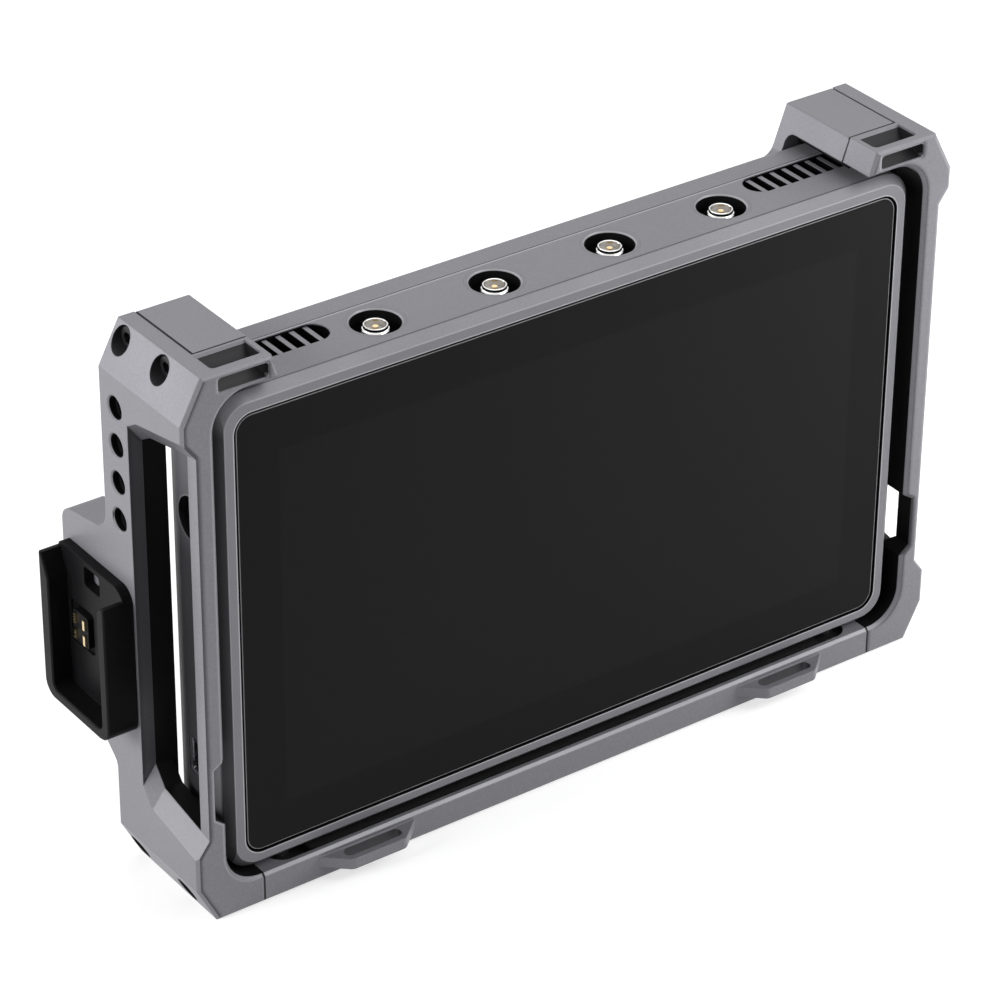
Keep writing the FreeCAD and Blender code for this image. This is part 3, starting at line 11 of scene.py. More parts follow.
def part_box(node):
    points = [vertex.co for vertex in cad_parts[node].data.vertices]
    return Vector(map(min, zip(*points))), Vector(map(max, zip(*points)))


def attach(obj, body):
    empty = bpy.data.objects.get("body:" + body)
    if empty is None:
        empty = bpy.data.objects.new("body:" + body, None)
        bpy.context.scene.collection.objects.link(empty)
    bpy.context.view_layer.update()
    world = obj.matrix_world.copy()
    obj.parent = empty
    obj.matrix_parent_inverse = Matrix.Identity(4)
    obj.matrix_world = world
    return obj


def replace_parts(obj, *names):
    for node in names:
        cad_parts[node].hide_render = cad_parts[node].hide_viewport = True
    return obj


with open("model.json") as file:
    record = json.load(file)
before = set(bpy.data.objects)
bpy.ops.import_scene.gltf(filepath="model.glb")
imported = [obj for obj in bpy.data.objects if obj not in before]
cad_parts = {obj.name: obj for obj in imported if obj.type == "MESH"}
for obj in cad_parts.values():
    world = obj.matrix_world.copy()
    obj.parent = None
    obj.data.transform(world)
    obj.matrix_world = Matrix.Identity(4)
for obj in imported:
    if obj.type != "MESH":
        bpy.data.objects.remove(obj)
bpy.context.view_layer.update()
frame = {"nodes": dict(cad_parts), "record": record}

NODES = frame["nodes"]
MOUNTS = {mount["name"]: mount for mount in frame["record"]["mounts"]}
SOCKETS = [mount for name, mount in MOUNTS.items() if name.startswith("antenna_socket")]
ROOT = "monitor_and_cage"
MM = 0.001
SAME_PLACE = 0.000001
X, Y, Z = 0, 1, 2
LEFT, RIGHT = -1.0, 1.0
MASK_SAMPLES, EDGE_SAMPLES = 8, 6
WHITE = (1, 1, 1, 1)
# The masks paint with these: a pale grey for painted highlights and for the metal collar of the jack, and a
# matt black for painted shade and black inner walls; the black is also the jack's own plastic.
PALE_METAL_AND_HIGHLIGHT = (0.60, 0.60, 0.62, 1)
MATT_BLACK = (0.006, 0.006, 0.0065, 1)
FINISHES = {}

bl_info = {
    "name": "Camera field monitor",
    "version": (1, 0, 0),
    "blender": (4, 5, 0),
    "location": "View3D > Sidebar > Field monitor",
    "description": "Finishes, threads and small trim of a camera field monitor in a clamp cage",
    "category": "Object",
}

# Regions of the finish, in metres: limits of the distance from the middle plane, of y and of z.
ANY = (-1.0, 1.0)
FOOT_SEAM = ((0.08493, 0.08547), ANY, (-1.0, 0.0080))
BLACK_INNER_WALLS = ((-1.0, 0.0986), (-0.0152, 0.0130), (0.0070, 0.1260))
STRAP_PASSAGE = ((0.0805, 0.0932), (-0.0157, -0.0065), (0.1300, 0.1340))
THREAD_ROW = ((-1.0, 0.1017), ANY, (0.0858, 0.1218))
WINDOW_BEVEL = ((0.0986, 0.10195), (-1.0, 0.0056), (0.0165, 0.1215))
LOW_BEVEL = ((0.0986, 0.10195), ANY, (0.0120, 0.0300))
JAW_SIDE_SEAM = ((0.09245, 1.0), ANY, (0.1341, 1.0))
JAW_FRONT_SEAM = (ANY, (-1.0, -0.0058), (0.1341, 1.0))
LUG_SLOTS = ((0.0506, 0.0658), (-0.01942, -0.01648), (0.0033, 0.00595))
BAR_POCKET = ((-1.0, 0.0811), (-0.0144, -0.0052), (0.0052, 0.00735))
BAR_BEVEL = (ANY, (-0.01602, -0.01528), (0.0068, 0.0080))
COVER_SEAM = (ANY, (0.00487, 0.00513), ANY)
COVER_EDGE = (ANY, (0.0044, 0.0049), (0.1258, 1.0))
SHELL_SIDES = ((0.0922, 1.0), ANY, ANY)
REAR_ROUNDING = ((0.0880, 1.0), (0.0040, 1.0), ANY)
SOCKET_WELLS = ((-1.0, 0.0550), ANY, (0.1100, 0.1257))
WELL_RIMS = ((-1.0, 0.0550), ANY, (0.1257, 1.0))
AIR_OUTLETS = ((0.0555, 0.0848), (-0.0036, 0.0046), (0.1100, 0.1258))
BEZEL_SIDES = ((0.0906, 1.0), ANY, ANY)
BEZEL_JOINT = (ANY, (-0.01165, -0.0113), ANY)
BEZEL_FRONT = (ANY, (-1.0, -0.0135), ANY)
SLAT_SIDES = (ANY, ANY, (-1.0, 0.12554))

# Regions that a finish paints black or pale grey, each with its share of the full strength: painted shade in
# hollows, gaps and joints, the black inner walls of the frames, and painted highlights on a bevel.
FRAME_DARK = ((BLACK_INNER_WALLS, 1.0), (STRAP_PASSAGE, 0.92), (FOOT_SEAM, 0.9))
JAW_SHADE = ((JAW_SIDE_SEAM, 0.9), (JAW_FRONT_SEAM, 0.9))
BAR_SHADE = ((LUG_SLOTS, 0.7), (BAR_POCKET, 0.85), (FOOT_SEAM, 0.9))
BAR_HIGHLIGHT = ((BAR_BEVEL, 0.16),)
SHELL_SHADE = ((COVER_SEAM, 0.85), (AIR_OUTLETS, 1.0))
BEZEL_SHADE = ((BEZEL_JOINT, 0.7),)
SLATS_SHADE = ((SLAT_SIDES, 1.0),)

# Ranges of y or z, in metres, over which a shade comes or goes.
BEVEL_REARWARDS = (-0.0150, -0.0040)
BEVEL_UPWARDS = (0.0240, 0.0330)
SHELL_REARWARDS = (-0.0117, -0.0020)
SHELL_UPWARDS = (0.084, 0.116)
BEZEL_UPWARDS = (0.1175, 0.1235)

# Rounded outlines in the front plane, in metres: half width, low edge, high edge and corner radius.
BEZEL_OPENING = (0.0882, 0.01185, 0.1217, 0.0045)
BEZEL_FRONT_EDGE = (0.0905, 0.0098, 0.1241, 0.0055)
OPENING_START = 0.00003

# The seats of the cage screws as y, z and radius, and the axis of the audio jack as y and z, in metres.
SCREW_SEATS = ((-0.0028, 0.1312, 0.00297), (0.0123, 0.1312, 0.00297),
               (-0.0064, 0.0035, 0.00302), (0.0130, 0.0035, 0.00302))
JACK_AXIS = (-0.0031, 0.0937)

# Plain finishes by slot: material name, two near colours, how metallic, limits of the roughness, fineness of
# the grain, and what else differs.
PLAIN = {
    "bare_aluminium": ("rolled_sheet", (0.62, 0.62, 0.64, 1), (0.72, 0.72, 0.74, 1),
                       0.9, (0.3, 0.42), 900.0, {}),
    "dark_panel": ("panel_film", (0.02, 0.02, 0.024, 1), (0.03, 0.03, 0.034, 1),
                   0.0, (0.2, 0.3), 500.0, {}),
    "black_plastic": ("moulded_black", (0.0035, 0.0035, 0.004, 1), (0.0070, 0.0070, 0.0076, 1),
                      0.0, (0.34, 0.44), 1800.0, {"edge": 0.0004, "specular": 0.07}),
    "white_plastic": ("white_resin", (0.44, 0.41, 0.38, 1), (0.52, 0.49, 0.46, 1),
                      0.0, (0.35, 0.45), 900.0, {}),
    "black_rubber": ("black_rubber", (0.004, 0.004, 0.004, 1), (0.009, 0.009, 0.009, 1),
                     0.0, (0.7, 0.85), 1400.0, {"specular": 0.15}),
    "black_steel": ("black_oxide", (0.010, 0.010, 0.011, 1), (0.020, 0.020, 0.022, 1),
                    0.4, (0.30, 0.40), 1500.0, {"edge": 0.0002}),
    "bright_steel": ("bright_plate", (0.62, 0.62, 0.65, 1), (0.74, 0.74, 0.76, 1),
                     1.0, (0.18, 0.28), 1200.0, {"bump": 0.05}),
    "chrome": ("nickel_plate", (0.80, 0.79, 0.78, 1), (0.88, 0.87, 0.86, 1),
               1.0, (0.08, 0.14), 1000.0, {"bump": 0.04}),
    "brass": ("gold_plate", (0.80, 0.62, 0.36, 1), (0.88, 0.72, 0.45, 1),
              1.0, (0.18, 0.28), 1000.0, {"bump": 0.05}),
    "board_green": ("coated_board", (0.012, 0.07, 0.035, 1), (0.02, 0.10, 0.05, 1),
                    0.0, (0.35, 0.5), 400.0, {}),
}

# Nodes whose finish differs from that of their slot.
SPECIAL = {"front_bezel": "bezel", "left_side_frame": "lined_frame", "right_side_frame": "lined_frame",
           "left_grille": "slats", "right_grille": "slats", "left_clamp_jaw": "jaw",
           "right_clamp_jaw": "jaw", "bottom_bar": "bar", "audio_jack": "jack"}


class CageLook(bpy.types.PropertyGroup):
    """Colours of the anodised metal."""
    dark: FloatVectorProperty(
        name="Cage dark", description="Darker grain of the cage metal", subtype="COLOR",
        size=4, min=0, max=1, default=(0.180, 0.179, 0.195, 1))
    light: FloatVectorProperty(
        name="Cage light", description="Lighter grain of the cage metal", subtype="COLOR",
        size=4, min=0, max=1, default=(0.212, 0.211, 0.230, 1))
    shell_dark: FloatVectorProperty(
        name="Shell dark", description="Darker grain of the monitor shells", subtype="COLOR",
        size=4, min=0, max=1, default=(0.177, 0.176, 0.190, 1))
    shell_light: FloatVectorProperty(
        name="Shell light", description="Lighter grain of the monitor shells", subtype="COLOR",
        size=4, min=0, max=1, default=(0.207, 0.206, 0.222, 1))
    metallic: FloatProperty(
        name="Metallic", description="How metallic the anodised surface is", subtype="FACTOR",
        min=0, max=1, default=0.38)
    edge: FloatProperty(
        name="Edge rounding", description="Radius of the shaded edge rounding", unit="LENGTH",
        min=0, max=0.002, default=0.00035)


class ScreenLook(bpy.types.PropertyGroup):
    """The black glass and the picture area under it."""
    border: FloatVectorProperty(
        name="Border", description="Black print round the picture area", subtype="COLOR",
        size=4, min=0, max=1, default=(0.0062, 0.0062, 0.0068, 1))
    picture: FloatVectorProperty(
        name="Picture area", description="Switched-off picture area", subtype="COLOR",
        size=4, min=0, max=1, default=(0.0085, 0.0085, 0.0092, 1))
    half_width: FloatProperty(
        name="Half width", description="Half the width of the picture area", unit="LENGTH",
        min=0.01, max=0.1, default=0.0773)
    low: FloatProperty(
        name="Low edge", description="Height of the lower edge of the picture area", unit="LENGTH",
        min=0, max=0.1, default=0.0224)
    high: FloatProperty(
        name="High edge", description="Height of the upper edge of the picture area", unit="LENGTH",
        min=0, max=0.2, default=0.1105)
    # The edge, its inset and its colour paint a highlight line on the edge chamfer of the glass.
    edge: FloatProperty(
        name="Edge width", description="Width of the bright ground edge of the glass", unit="LENGTH",
        min=0.0001, max=0.002, default=0.00021)
    edge_inset: FloatProperty(
        name="Edge inset", description="Black rim outside the ground edge", unit="LENGTH",
        min=0, max=0.002, default=0.00024)
    edge_highlight_colour: FloatVectorProperty(
        name="Edge colour", description="Colour of the ground edge", subtype="COLOR",
        size=4, min=0, max=1, default=(0.21, 0.21, 0.22, 1))


class ThreadSizes(bpy.types.PropertyGroup):
    """Screw threads of the accessory holes, and the antenna sockets with their wells."""
    pitch: FloatProperty(
        name="Hole pitch", description="Pitch of the accessory threads", unit="LENGTH",
        min=0.0005, max=0.003, default=0.00127)
    depth: FloatProperty(
        name="Hole depth", description="Height of the accessory thread ridge", unit="LENGTH",
        min=0.0001, max=0.001, default=0.0004)
    socket_pitch: FloatProperty(
        name="Socket pitch", description="Pitch of the socket threads", unit="LENGTH",
        min=0.0003, max=0.002, default=0.00071)
    socket_depth: FloatProperty(
        name="Socket depth", description="Height of the socket thread ridge", unit="LENGTH",
        min=0.0001, max=0.001, default=0.00022)
    rim: FloatProperty(
        name="Rim radius", description="Outer radius of the plain rim of a socket", unit="LENGTH",
        min=0.002, max=0.004, default=0.0027)
    rim_height: FloatProperty(
        name="Rim height", description="Height of the plain rim above the shoulder", unit="LENGTH",
        min=0.0002, max=0.002, default=0.00074)
    well: FloatProperty(
        name="Well radius", description="Inner radius of the lip of a socket well", unit="LENGTH",
        min=0.004, max=0.0062, default=0.0056)
    well_break: FloatProperty(
        name="Well edge", description="Size of the broken edge of a socket well", unit="LENGTH",
        min=0.0001, max=0.001, default=0.00038)
    around: IntProperty(
        name="Steps", description="Steps in one turn of a thread", min=12, max=96, default=40)


class StageLook(bpy.types.PropertyGroup):
    """Floor, light and camera."""
    ambient: FloatProperty(
        name="Ambient", description="Strength of the even room light", min=0, max=2, default=0.34)
    lift: FloatProperty(
        name="Floor lift", description="How much lighter the floor is drawn than it is lit",
        min=0, max=1, default=0.56)
    key: FloatProperty(
        name="Key lamp", description="Power of the large lamp at the left", unit="POWER",
        min=0, max=100, default=19.5)
    rim: FloatProperty(
        name="Rim lamp", description="Power of the low lamp behind the left side", unit="POWER",
        min=0, max=100, default=2.0)
    front: FloatProperty(
        name="Front lamp", description="Power of the near lamp in front of the right side", unit="POWER",
        min=0, max=100, default=1.8)
    fill: FloatProperty(
        name="Top lamp", description="Power of the soft lamp above", unit="POWER",
        min=0, max=100, default=3.8)
    bevel: FloatProperty(
        name="Bevel lamp", description="Power of the high lamp in front, for the bevels", unit="POWER",
        min=0, max=100, default=4.0)
    lens: FloatProperty(
        name="Lens", description="Focal length", unit="CAMERA", min=20, max=400, default=150.15)


class Graph:
    """A material with short names for the node steps that it needs."""

    def __init__(self, name):
        self.material = bpy.data.materials.new(name)
        self.material.use_nodes = True
        self.tree = self.material.node_tree
        self.shader = self.tree.nodes["Principled BSDF"]
        self.where = self.tree.nodes.new("ShaderNodeTexCoord").outputs["Object"]

    def join(self, value, socket):
        """Link a node output to an input, or write a plain number there."""
        if isinstance(value, bpy.types.NodeSocket):
            self.tree.links.new(value, socket)
        else:
            socket.default_value = value

    def parts(self, vector):
        """The three parts of a vector."""
        split = self.tree.nodes.new("ShaderNodeSeparateXYZ")
        self.tree.links.new(vector, split.inputs["Vector"])
        return split.outputs["X"], split.outputs["Y"], split.outputs["Z"]

    def axes(self):
        """The three coordinates of a point on the object, in metres."""
        return self.parts(self.where)

    def bevel(self, radius, samples):
        """The surface normal with sharp edges rounded to a radius."""
        node = self.tree.nodes.new("ShaderNodeBevel")
        node.samples = samples
        node.inputs["Radius"].default_value = radius
        return node.outputs["Normal"]

    def facing(self, rounded=0.0):
        """The three parts of the surface normal, with edges rounded to a radius where one is given."""
        if rounded > 0:
            return self.parts(self.bevel(rounded, MASK_SAMPLES))
        return self.parts(self.tree.nodes.new("ShaderNodeNewGeometry").outputs["True Normal"])

    def math(self, operation, first, second=0.0):
        """One step of arithmetic."""
        node = self.tree.nodes.new("ShaderNodeMath")
        node.operation = operation
        self.join(first, node.inputs[0])
        self.join(second, node.inputs[1])
        return node.outputs[0]

    def above(self, value, limit):
        """One where a value is over a limit, otherwise zero."""
        return self.math("GREATER_THAN", value, limit)

    def below(self, value, limit):
        """One where a value is under a limit, otherwise zero."""
        return self.math("LESS_THAN", value, limit)

    def inside(self, value, low, high):
        """One where a value lies between two limits, otherwise zero."""
        return self.math("MULTIPLY", self.above(value, low), self.below(value, high))

    def weaker(self, mask, share):
        """A mask at a share of its strength."""
        return self.math("MULTIPLY", mask, share)

    def every(self, *masks):
        """One where all the masks are one."""
        result = masks[0]
        for mask in masks[1:]:
            result = self.math("MULTIPLY", result, mask)
        return result

    def some(self, *masks):
        """One where any of the masks is one."""
        result = masks[0]
        for mask in masks[1:]:
            result = self.math("MAXIMUM", result, mask)
        return result

    def within(self, region):
        """One inside a region: limits of the distance from the middle plane, of y and of z."""
        x, y, z = self.axes()
        limits = zip((self.math("ABSOLUTE", x), y, z), region)
        return self.every(*[self.inside(value, *pair) for value, pair in limits if pair != ANY])

    def regions(self, table):
        """The strongest of several regions, each at its share of strength."""
        return self.some(*[self.weaker(self.within(region), share) for region, share in table])

    def distance(self, first, second):
        """Length of a vector with two parts."""
        squares = [self.math("MULTIPLY", value, value) for value in (first, second)]
        return self.math("SQRT", self.math("ADD", *squares))

    def from_axis(self, first, second, axis):
        """Distance of two coordinates from an axis."""
        beside = self.math("SUBTRACT", first, axis[0])
        beyond = self.math("SUBTRACT", second, axis[1])
        return self.distance(beside, beyond)

    def noise(self, scale, detail=2.0):
        """A cloud pattern of the given fineness."""
        node = self.tree.nodes.new("ShaderNodeTexNoise")
        node.inputs["Scale"].default_value = scale
        node.inputs["Detail"].default_value = detail
        self.tree.links.new(self.where, node.inputs["Vector"])
        return node.outputs["Fac"]

    def ramp(self, value, start, end, low=0.0, high=1.0):
        """Go evenly from low, where the value is at the start, to high at the end, and stay there beyond."""
        node = self.tree.nodes.new("ShaderNodeMapRange")
        node.inputs["From Min"].default_value = start
        node.inputs["From Max"].default_value = end
        node.inputs["To Min"].default_value = low
        node.inputs["To Max"].default_value = high
        self.tree.links.new(value, node.inputs["Value"])
        return node.outputs["Result"]

    def spread(self, value, low, high):
        """Map the middle of a pattern onto a range of numbers."""
        start, end = 0.3, 0.7
        return self.ramp(value, start, end, low, high)

    def outline(self, half, low, high, corner):
        """Distance from a rounded outline in the front plane, below zero inside it."""
        x, y, z = self.axes()
        height = self.math("ABSOLUTE", self.math("SUBTRACT", z, (low + high) / 2))
        beyond_x = self.math("SUBTRACT", self.math("ABSOLUTE", x), half - corner)
        beyond_z = self.math("SUBTRACT", height, (high - low) / 2 - corner)
        round_part = self.distance(self.math("MAXIMUM", beyond_x, 0.0), self.math("MAXIMUM", beyond_z, 0.0))
        flat_part = self.math("MINIMUM", self.math("MAXIMUM", beyond_x, beyond_z), 0.0)
        return self.math("SUBTRACT", self.math("ADD", round_part, flat_part), corner)

    def mix(self, value, first, second):
        """A colour between two colours, by a pattern or a mask."""
        node = self.tree.nodes.new("ShaderNodeMix")
        node.data_type = "RGBA"
        colours = [socket for socket in node.inputs if socket.type == "RGBA"]
        self.join(first, colours[0])
        self.join(second, colours[1])
        self.join(value, node.inputs["Factor"])
        return [socket for socket in node.outputs if socket.type == "RGBA"][0]

    def grain(self, value, strength, distance, edge=0.0):
        """Raise the surface by a pattern; an edge radius softens the shading of sharp edges."""
        bump = self.tree.nodes.new("ShaderNodeBump")
        bump.inputs["Strength"].default_value = strength
        bump.inputs["Distance"].default_value = distance
        self.tree.links.new(value, bump.inputs["Height"])
        if edge > 0:
            self.tree.links.new(self.bevel(edge, EDGE_SAMPLES), bump.inputs["Normal"])
        self.tree.links.new(bump.outputs["Normal"], self.shader.inputs["Normal"])


def surface(name, first, second, metallic, rough, scale, bump=0.15, distance=0.00008, edge=0.0,
            specular=0.5, dark=None, bright=None):
    """A finish of two near colours, a range of roughness and a fine grain.
    dark and bright, where given, are functions of the graph that return a mask; the surface is matt black,
    mostly painted shade, where the first is one, and pale grey, painted highlights, where the second is (on
    the jack, its metal collar)."""
    fine_detail, broad_scale = 3.0, 45.0
    graph = Graph(name)
    fine = graph.noise(scale, fine_detail)
    colour = graph.mix(graph.spread(fine, 0.0, 1.0), first, second)
    if bright is not None:
        # Painted highlights, and on the jack the colour of its metal collar: pale grey where the bright mask
        # is one.
        colour = graph.mix(bright(graph), colour, PALE_METAL_AND_HIGHLIGHT)
    if dark is not None:
        # Painted shade: matt black where the dark mask is one.
        colour = graph.mix(dark(graph), colour, MATT_BLACK)
    graph.join(colour, graph.shader.inputs["Base Color"])
    graph.join(graph.spread(graph.noise(broad_scale), *rough), graph.shader.inputs["Roughness"])
    graph.shader.inputs["Metallic"].default_value = metallic
    graph.shader.inputs["Specular IOR Level"].default_value = specular
    graph.grain(fine, bump, distance, edge)
    return graph.material


def front_edge(graph, side, radius):
    """The narrow broken edges of the front faces, those that look to one side."""
    forwards, start, end = -0.9, 0.04, 0.12
    flat = graph.below(graph.facing()[Y], forwards)
    turned_to = graph.math("MULTIPLY", graph.facing(radius)[X], side)
    return graph.math("MULTIPLY", flat, graph.ramp(turned_to, start, end))


def frame_painted_highlights(graph):
    """Where a side frame gets painted highlights: along the edges of its front that look to the right, as if
    lit from the right, and a little on the low bevel of its window."""
    edge_radius, edge_share, bevel_share, upwards = 0.0009, 0.25, 0.12, 0.2
    edge = front_edge(graph, RIGHT, edge_radius)
    low_bevel = graph.every(graph.within(LOW_BEVEL), graph.above(graph.facing()[Z], upwards))
    return graph.some(graph.weaker(edge, edge_share), graph.weaker(low_bevel, bevel_share))


def frame_black_walls_and_shade(graph):
    """Where a side frame is black: its inner walls, and as painted shade its thread holes, the seats of the
    screws, the strap passage and the seam at its foot, and less so the edges of its front that look to the
    left, away from the light. The bevels of the window get painted shade that grows towards the rear."""
    row_y, row_start, row_pitch, hole_radius = 0.0103, 0.0858, 0.0090, 0.00262
    edge_radius, edge_share, seat_share, bevel_share, low_share = 0.0018, 0.66, 0.85, 0.5, 0.05
    x, y, z = graph.axes()
    climb = graph.math("FLOORED_MODULO", graph.math("SUBTRACT", z, row_start), row_pitch)
    from_hole = graph.from_axis(y, climb, (row_y, row_pitch / 2))
    hole = graph.every(graph.below(from_hole, hole_radius), graph.within(THREAD_ROW))
    seats = [graph.below(graph.from_axis(y, z, (row, level)), radius) for row, level, radius in SCREW_SEATS]
    bevel = graph.every(graph.within(WINDOW_BEVEL), graph.ramp(y, *BEVEL_REARWARDS, 0.0, bevel_share),
                        graph.ramp(z, *BEVEL_UPWARDS, low_share, 1.0))
    edge = front_edge(graph, LEFT, edge_radius)
    return graph.some(graph.regions(FRAME_DARK), hole, bevel, graph.weaker(edge, edge_share),
                      graph.weaker(graph.some(*seats), seat_share))


def jaw_seam_shade(graph):
    """Where a clamp jaw is dark: painted shade along its upper edges towards the frame and the arm, where
    they meet.
    """
    return graph.regions(JAW_SHADE)


def bar_painted_shade(graph):
    """Where the bottom bar is dark: painted shade in the slots of its lugs, in its pocket and in the gaps at
    its ends.
    """
    return graph.regions(BAR_SHADE)


def bar_painted_highlight(graph):
    """Where the bottom bar is pale: a painted highlight on the narrow bevel along its upper front edge."""
    return graph.regions(BAR_HIGHLIGHT)


def jack_distance(graph):
    """Distance from the axis of the audio jack."""
    x, y, z = graph.axes()
    return graph.from_axis(y, z, JACK_AXIS)


def jack_collar(graph):
    """Where the audio jack is bright: on the outer ring of its collar."""
    inner, outer, face = 0.00185, 0.00295, -0.0895
    x = graph.axes()[X]
    return graph.every(graph.inside(jack_distance(graph), inner, outer), graph.below(x, face))


def well_distance(graph):
    """Distance from the upright axis of the nearest antenna well."""
    pitch, row_y = 0.03067, -0.0030
    x, y, z = graph.axes()
    return graph.from_axis(graph.math("FLOORED_MODULO", x, pitch), y, (pitch / 2, row_y))


def shell_black_wells_and_shade(graph):
    """Where a monitor shell is black: inside the antenna wells; as painted shade in the air outlets, the jack
    recess and along the seam of the rear cover; and less so, as a painted shadow of the cage, on its sides,
    towards the bottom and the rear."""
    sideways, side_share, front_share = 0.4, 0.85, 0.45
    well_radius, recess_radius, recess_limits = 0.00624, 0.00533, (-0.09245, -0.085)
    x, y, z = graph.axes()
    to_side = graph.above(graph.math("ABSOLUTE", graph.facing()[X]), sideways)
    flank = graph.some(graph.within(SHELL_SIDES), graph.every(graph.within(REAR_ROUNDING), to_side))
    side = graph.every(flank, graph.ramp(z, *SHELL_UPWARDS, side_share, 0.0),
                       graph.ramp(y, *SHELL_REARWARDS, front_share, 1.0))
    well = graph.every(graph.below(well_distance(graph), well_radius), graph.within(SOCKET_WELLS))
    recess = graph.every(graph.below(jack_distance(graph), recess_radius), graph.inside(x, *recess_limits))
    return graph.some(well, graph.regions(SHELL_SHADE), side, recess)


def shell_painted_highlights(graph):
    """Where a shell is pale: painted highlights on its edge along the seam of the rear cover, on the rim of
    the jack recess and on the rims of the wells."""
    share, recess_rim, well_rim, face = 0.3, (0.0053, 0.00565), (0.0055, 0.00592), -0.0924
    x = graph.axes()[X]
    recess = graph.every(graph.inside(jack_distance(graph), *recess_rim), graph.below(x, face))
    well = graph.every(graph.inside(well_distance(graph), *well_rim), graph.within(WELL_RIMS))
    return graph.weaker(graph.some(graph.within(COVER_EDGE), recess, well), share)


def bezel_painted_shade(graph):
    """Where the bezel is black: painted shade on the walls of its opening and in a line at its joint with the
    housing, and less so a painted shadow on its left and right sides."""
    side_share = 0.72
    z = graph.axes()[Z]
    side = graph.every(graph.within(BEZEL_SIDES), graph.ramp(z, *BEZEL_UPWARDS, side_share, 0.0))
    opening = graph.below(graph.outline(*BEZEL_OPENING), OPENING_START)
    return graph.some(opening, side, graph.regions(BEZEL_SHADE))


def bezel_painted_highlights(graph):
    """Where the bezel is pale: a painted highlight along the edge between its broad bevel and its front face,
    and a stronger one along the edge of its opening."""
    half_width, outer_share, opening_end, inner_share = 0.00014, 0.24, 0.00030, 0.45
    near = graph.below(graph.math("ABSOLUTE", graph.outline(*BEZEL_FRONT_EDGE)), half_width)
    outer = graph.every(near, graph.within(BEZEL_FRONT))
    inner = graph.inside(graph.outline(*BEZEL_OPENING), OPENING_START, opening_end)
    return graph.some(graph.weaker(outer, outer_share), graph.weaker(inner, inner_share))


def slat_painted_shade(graph):
    """Where a grille is black: painted shade all below the top faces of its slats."""
    return graph.regions(SLATS_SHADE)


def screen_glass(look):
    """Black glass: a painted highlight line just inside its outline, on its edge chamfer, black print and a
    slightly lighter picture area."""
    corner, broad_scale, rough, specular = 0.00415, 30.0, (0.10, 0.14), 0.06
    graph = Graph("screen_glass")
    x, y, z = graph.axes()
    low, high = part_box("cover_glass")
    distance = graph.outline(high[0], low[2], high[2], corner)
    edge = graph.inside(distance, -look.edge_inset - look.edge, -look.edge_inset)
    across = graph.inside(x, -look.half_width, look.half_width)
    picture = graph.every(across, graph.inside(z, look.low, look.high))
    colour = graph.mix(edge, graph.mix(picture, look.border, look.picture), look.edge_highlight_colour)
    graph.join(colour, graph.shader.inputs["Base Color"])
    graph.join(graph.spread(graph.noise(broad_scale), *rough), graph.shader.inputs["Roughness"])
    graph.shader.inputs["Specular IOR Level"].default_value = specular
    return graph.material


def finishes(scene):
    """One finish for each material slot of the record, and some that differ within a slot."""
    cage = scene.cage_look
    metal = {"metallic": cage.metallic, "edge": cage.edge, "specular": 0.2}
    frames = dict(metal, first=cage.dark, second=cage.light, rough=(0.38, 0.46), scale=2600.0)
    shells = dict(metal, first=cage.shell_dark, second=cage.shell_light, rough=(0.40, 0.48), scale=3200.0)
    grilles = dict(frames, metallic=0.5, rough=(0.35, 0.45), edge=0.0002)
    moulded = {"first": MATT_BLACK, "second": (0.010, 0.010, 0.011, 1), "metallic": 0.0, "rough": (0.2, 0.3)}
    result = {
        "cage_grey": surface("blasted_cage", **frames),
        # The frame, shell, bezel, jaw, bar and slat finishes carry painted shade and painted highlights from
        # their masks; the frames' inner walls and the antenna wells are drawn black.
        "lined_frame": surface("blasted_frame", dark=frame_black_walls_and_shade, bright=frame_painted_highlights, **frames),
        "housing_grey": surface("blasted_shell", dark=shell_black_wells_and_shade, bright=shell_painted_highlights, **shells),
        "bezel": surface("blasted_bezel", dark=bezel_painted_shade, bright=bezel_painted_highlights, **shells),
        "jaw": surface("blasted_jaw", dark=jaw_seam_shade, **frames),
        "bar": surface("blasted_bar", dark=bar_painted_shade, bright=bar_painted_highlight, **frames),
        "slats": surface("blasted_slats", dark=slat_painted_shade, **grilles),
        "jack": surface("moulded_jack", scale=1800.0, bright=jack_collar, **moulded),
        "black_glass": screen_glass(scene.screen_look),
    }
    for slot, (name, first, second, metallic, rough, scale, more) in PLAIN.items():
        result[slot] = surface(name, first, second, metallic, rough, scale, **more)
    return result


def dress(nodes):
    """Give each CAD node the finish of its slot, or its own where it has one."""
    slots = {part["node"]: part["material_slot"] for part in frame["record"]["subparts"]}
    for name in nodes:
        mesh = NODES[name].data
        mesh.materials.clear()
        mesh.materials.append(FINISHES[SPECIAL.get(name, slots[name])])


def add_piece(name, points, faces, slot, smooth=True, finish=None):
    """Put whole arrays of points and faces into a new mesh that rides on the fixed body.
    Points that coincide become one, which closes the poles, and the faces are turned outwards."""
    mesh = bpy.data.meshes.new(name)
    mesh.from_pydata(points.tolist(), [], list(faces))
    shape = bmesh.new()
    shape.from_mesh(mesh)
    bmesh.ops.remove_doubles(shape, verts=shape.verts, dist=SAME_PLACE)
    bmesh.ops.recalc_face_normals(shape, faces=shape.faces)
    shape.to_mesh(mesh)
    shape.free()
    mesh.polygons.foreach_set("use_smooth", np.full(len(mesh.polygons), smooth))
    mesh.validate()
    mesh.update()
    piece = bpy.data.objects.new(name, mesh)
    bpy.context.scene.collection.objects.link(piece)
    mesh.materials.append(FINISHES[finish or slot])
    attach(piece, ROOT)
    return piece


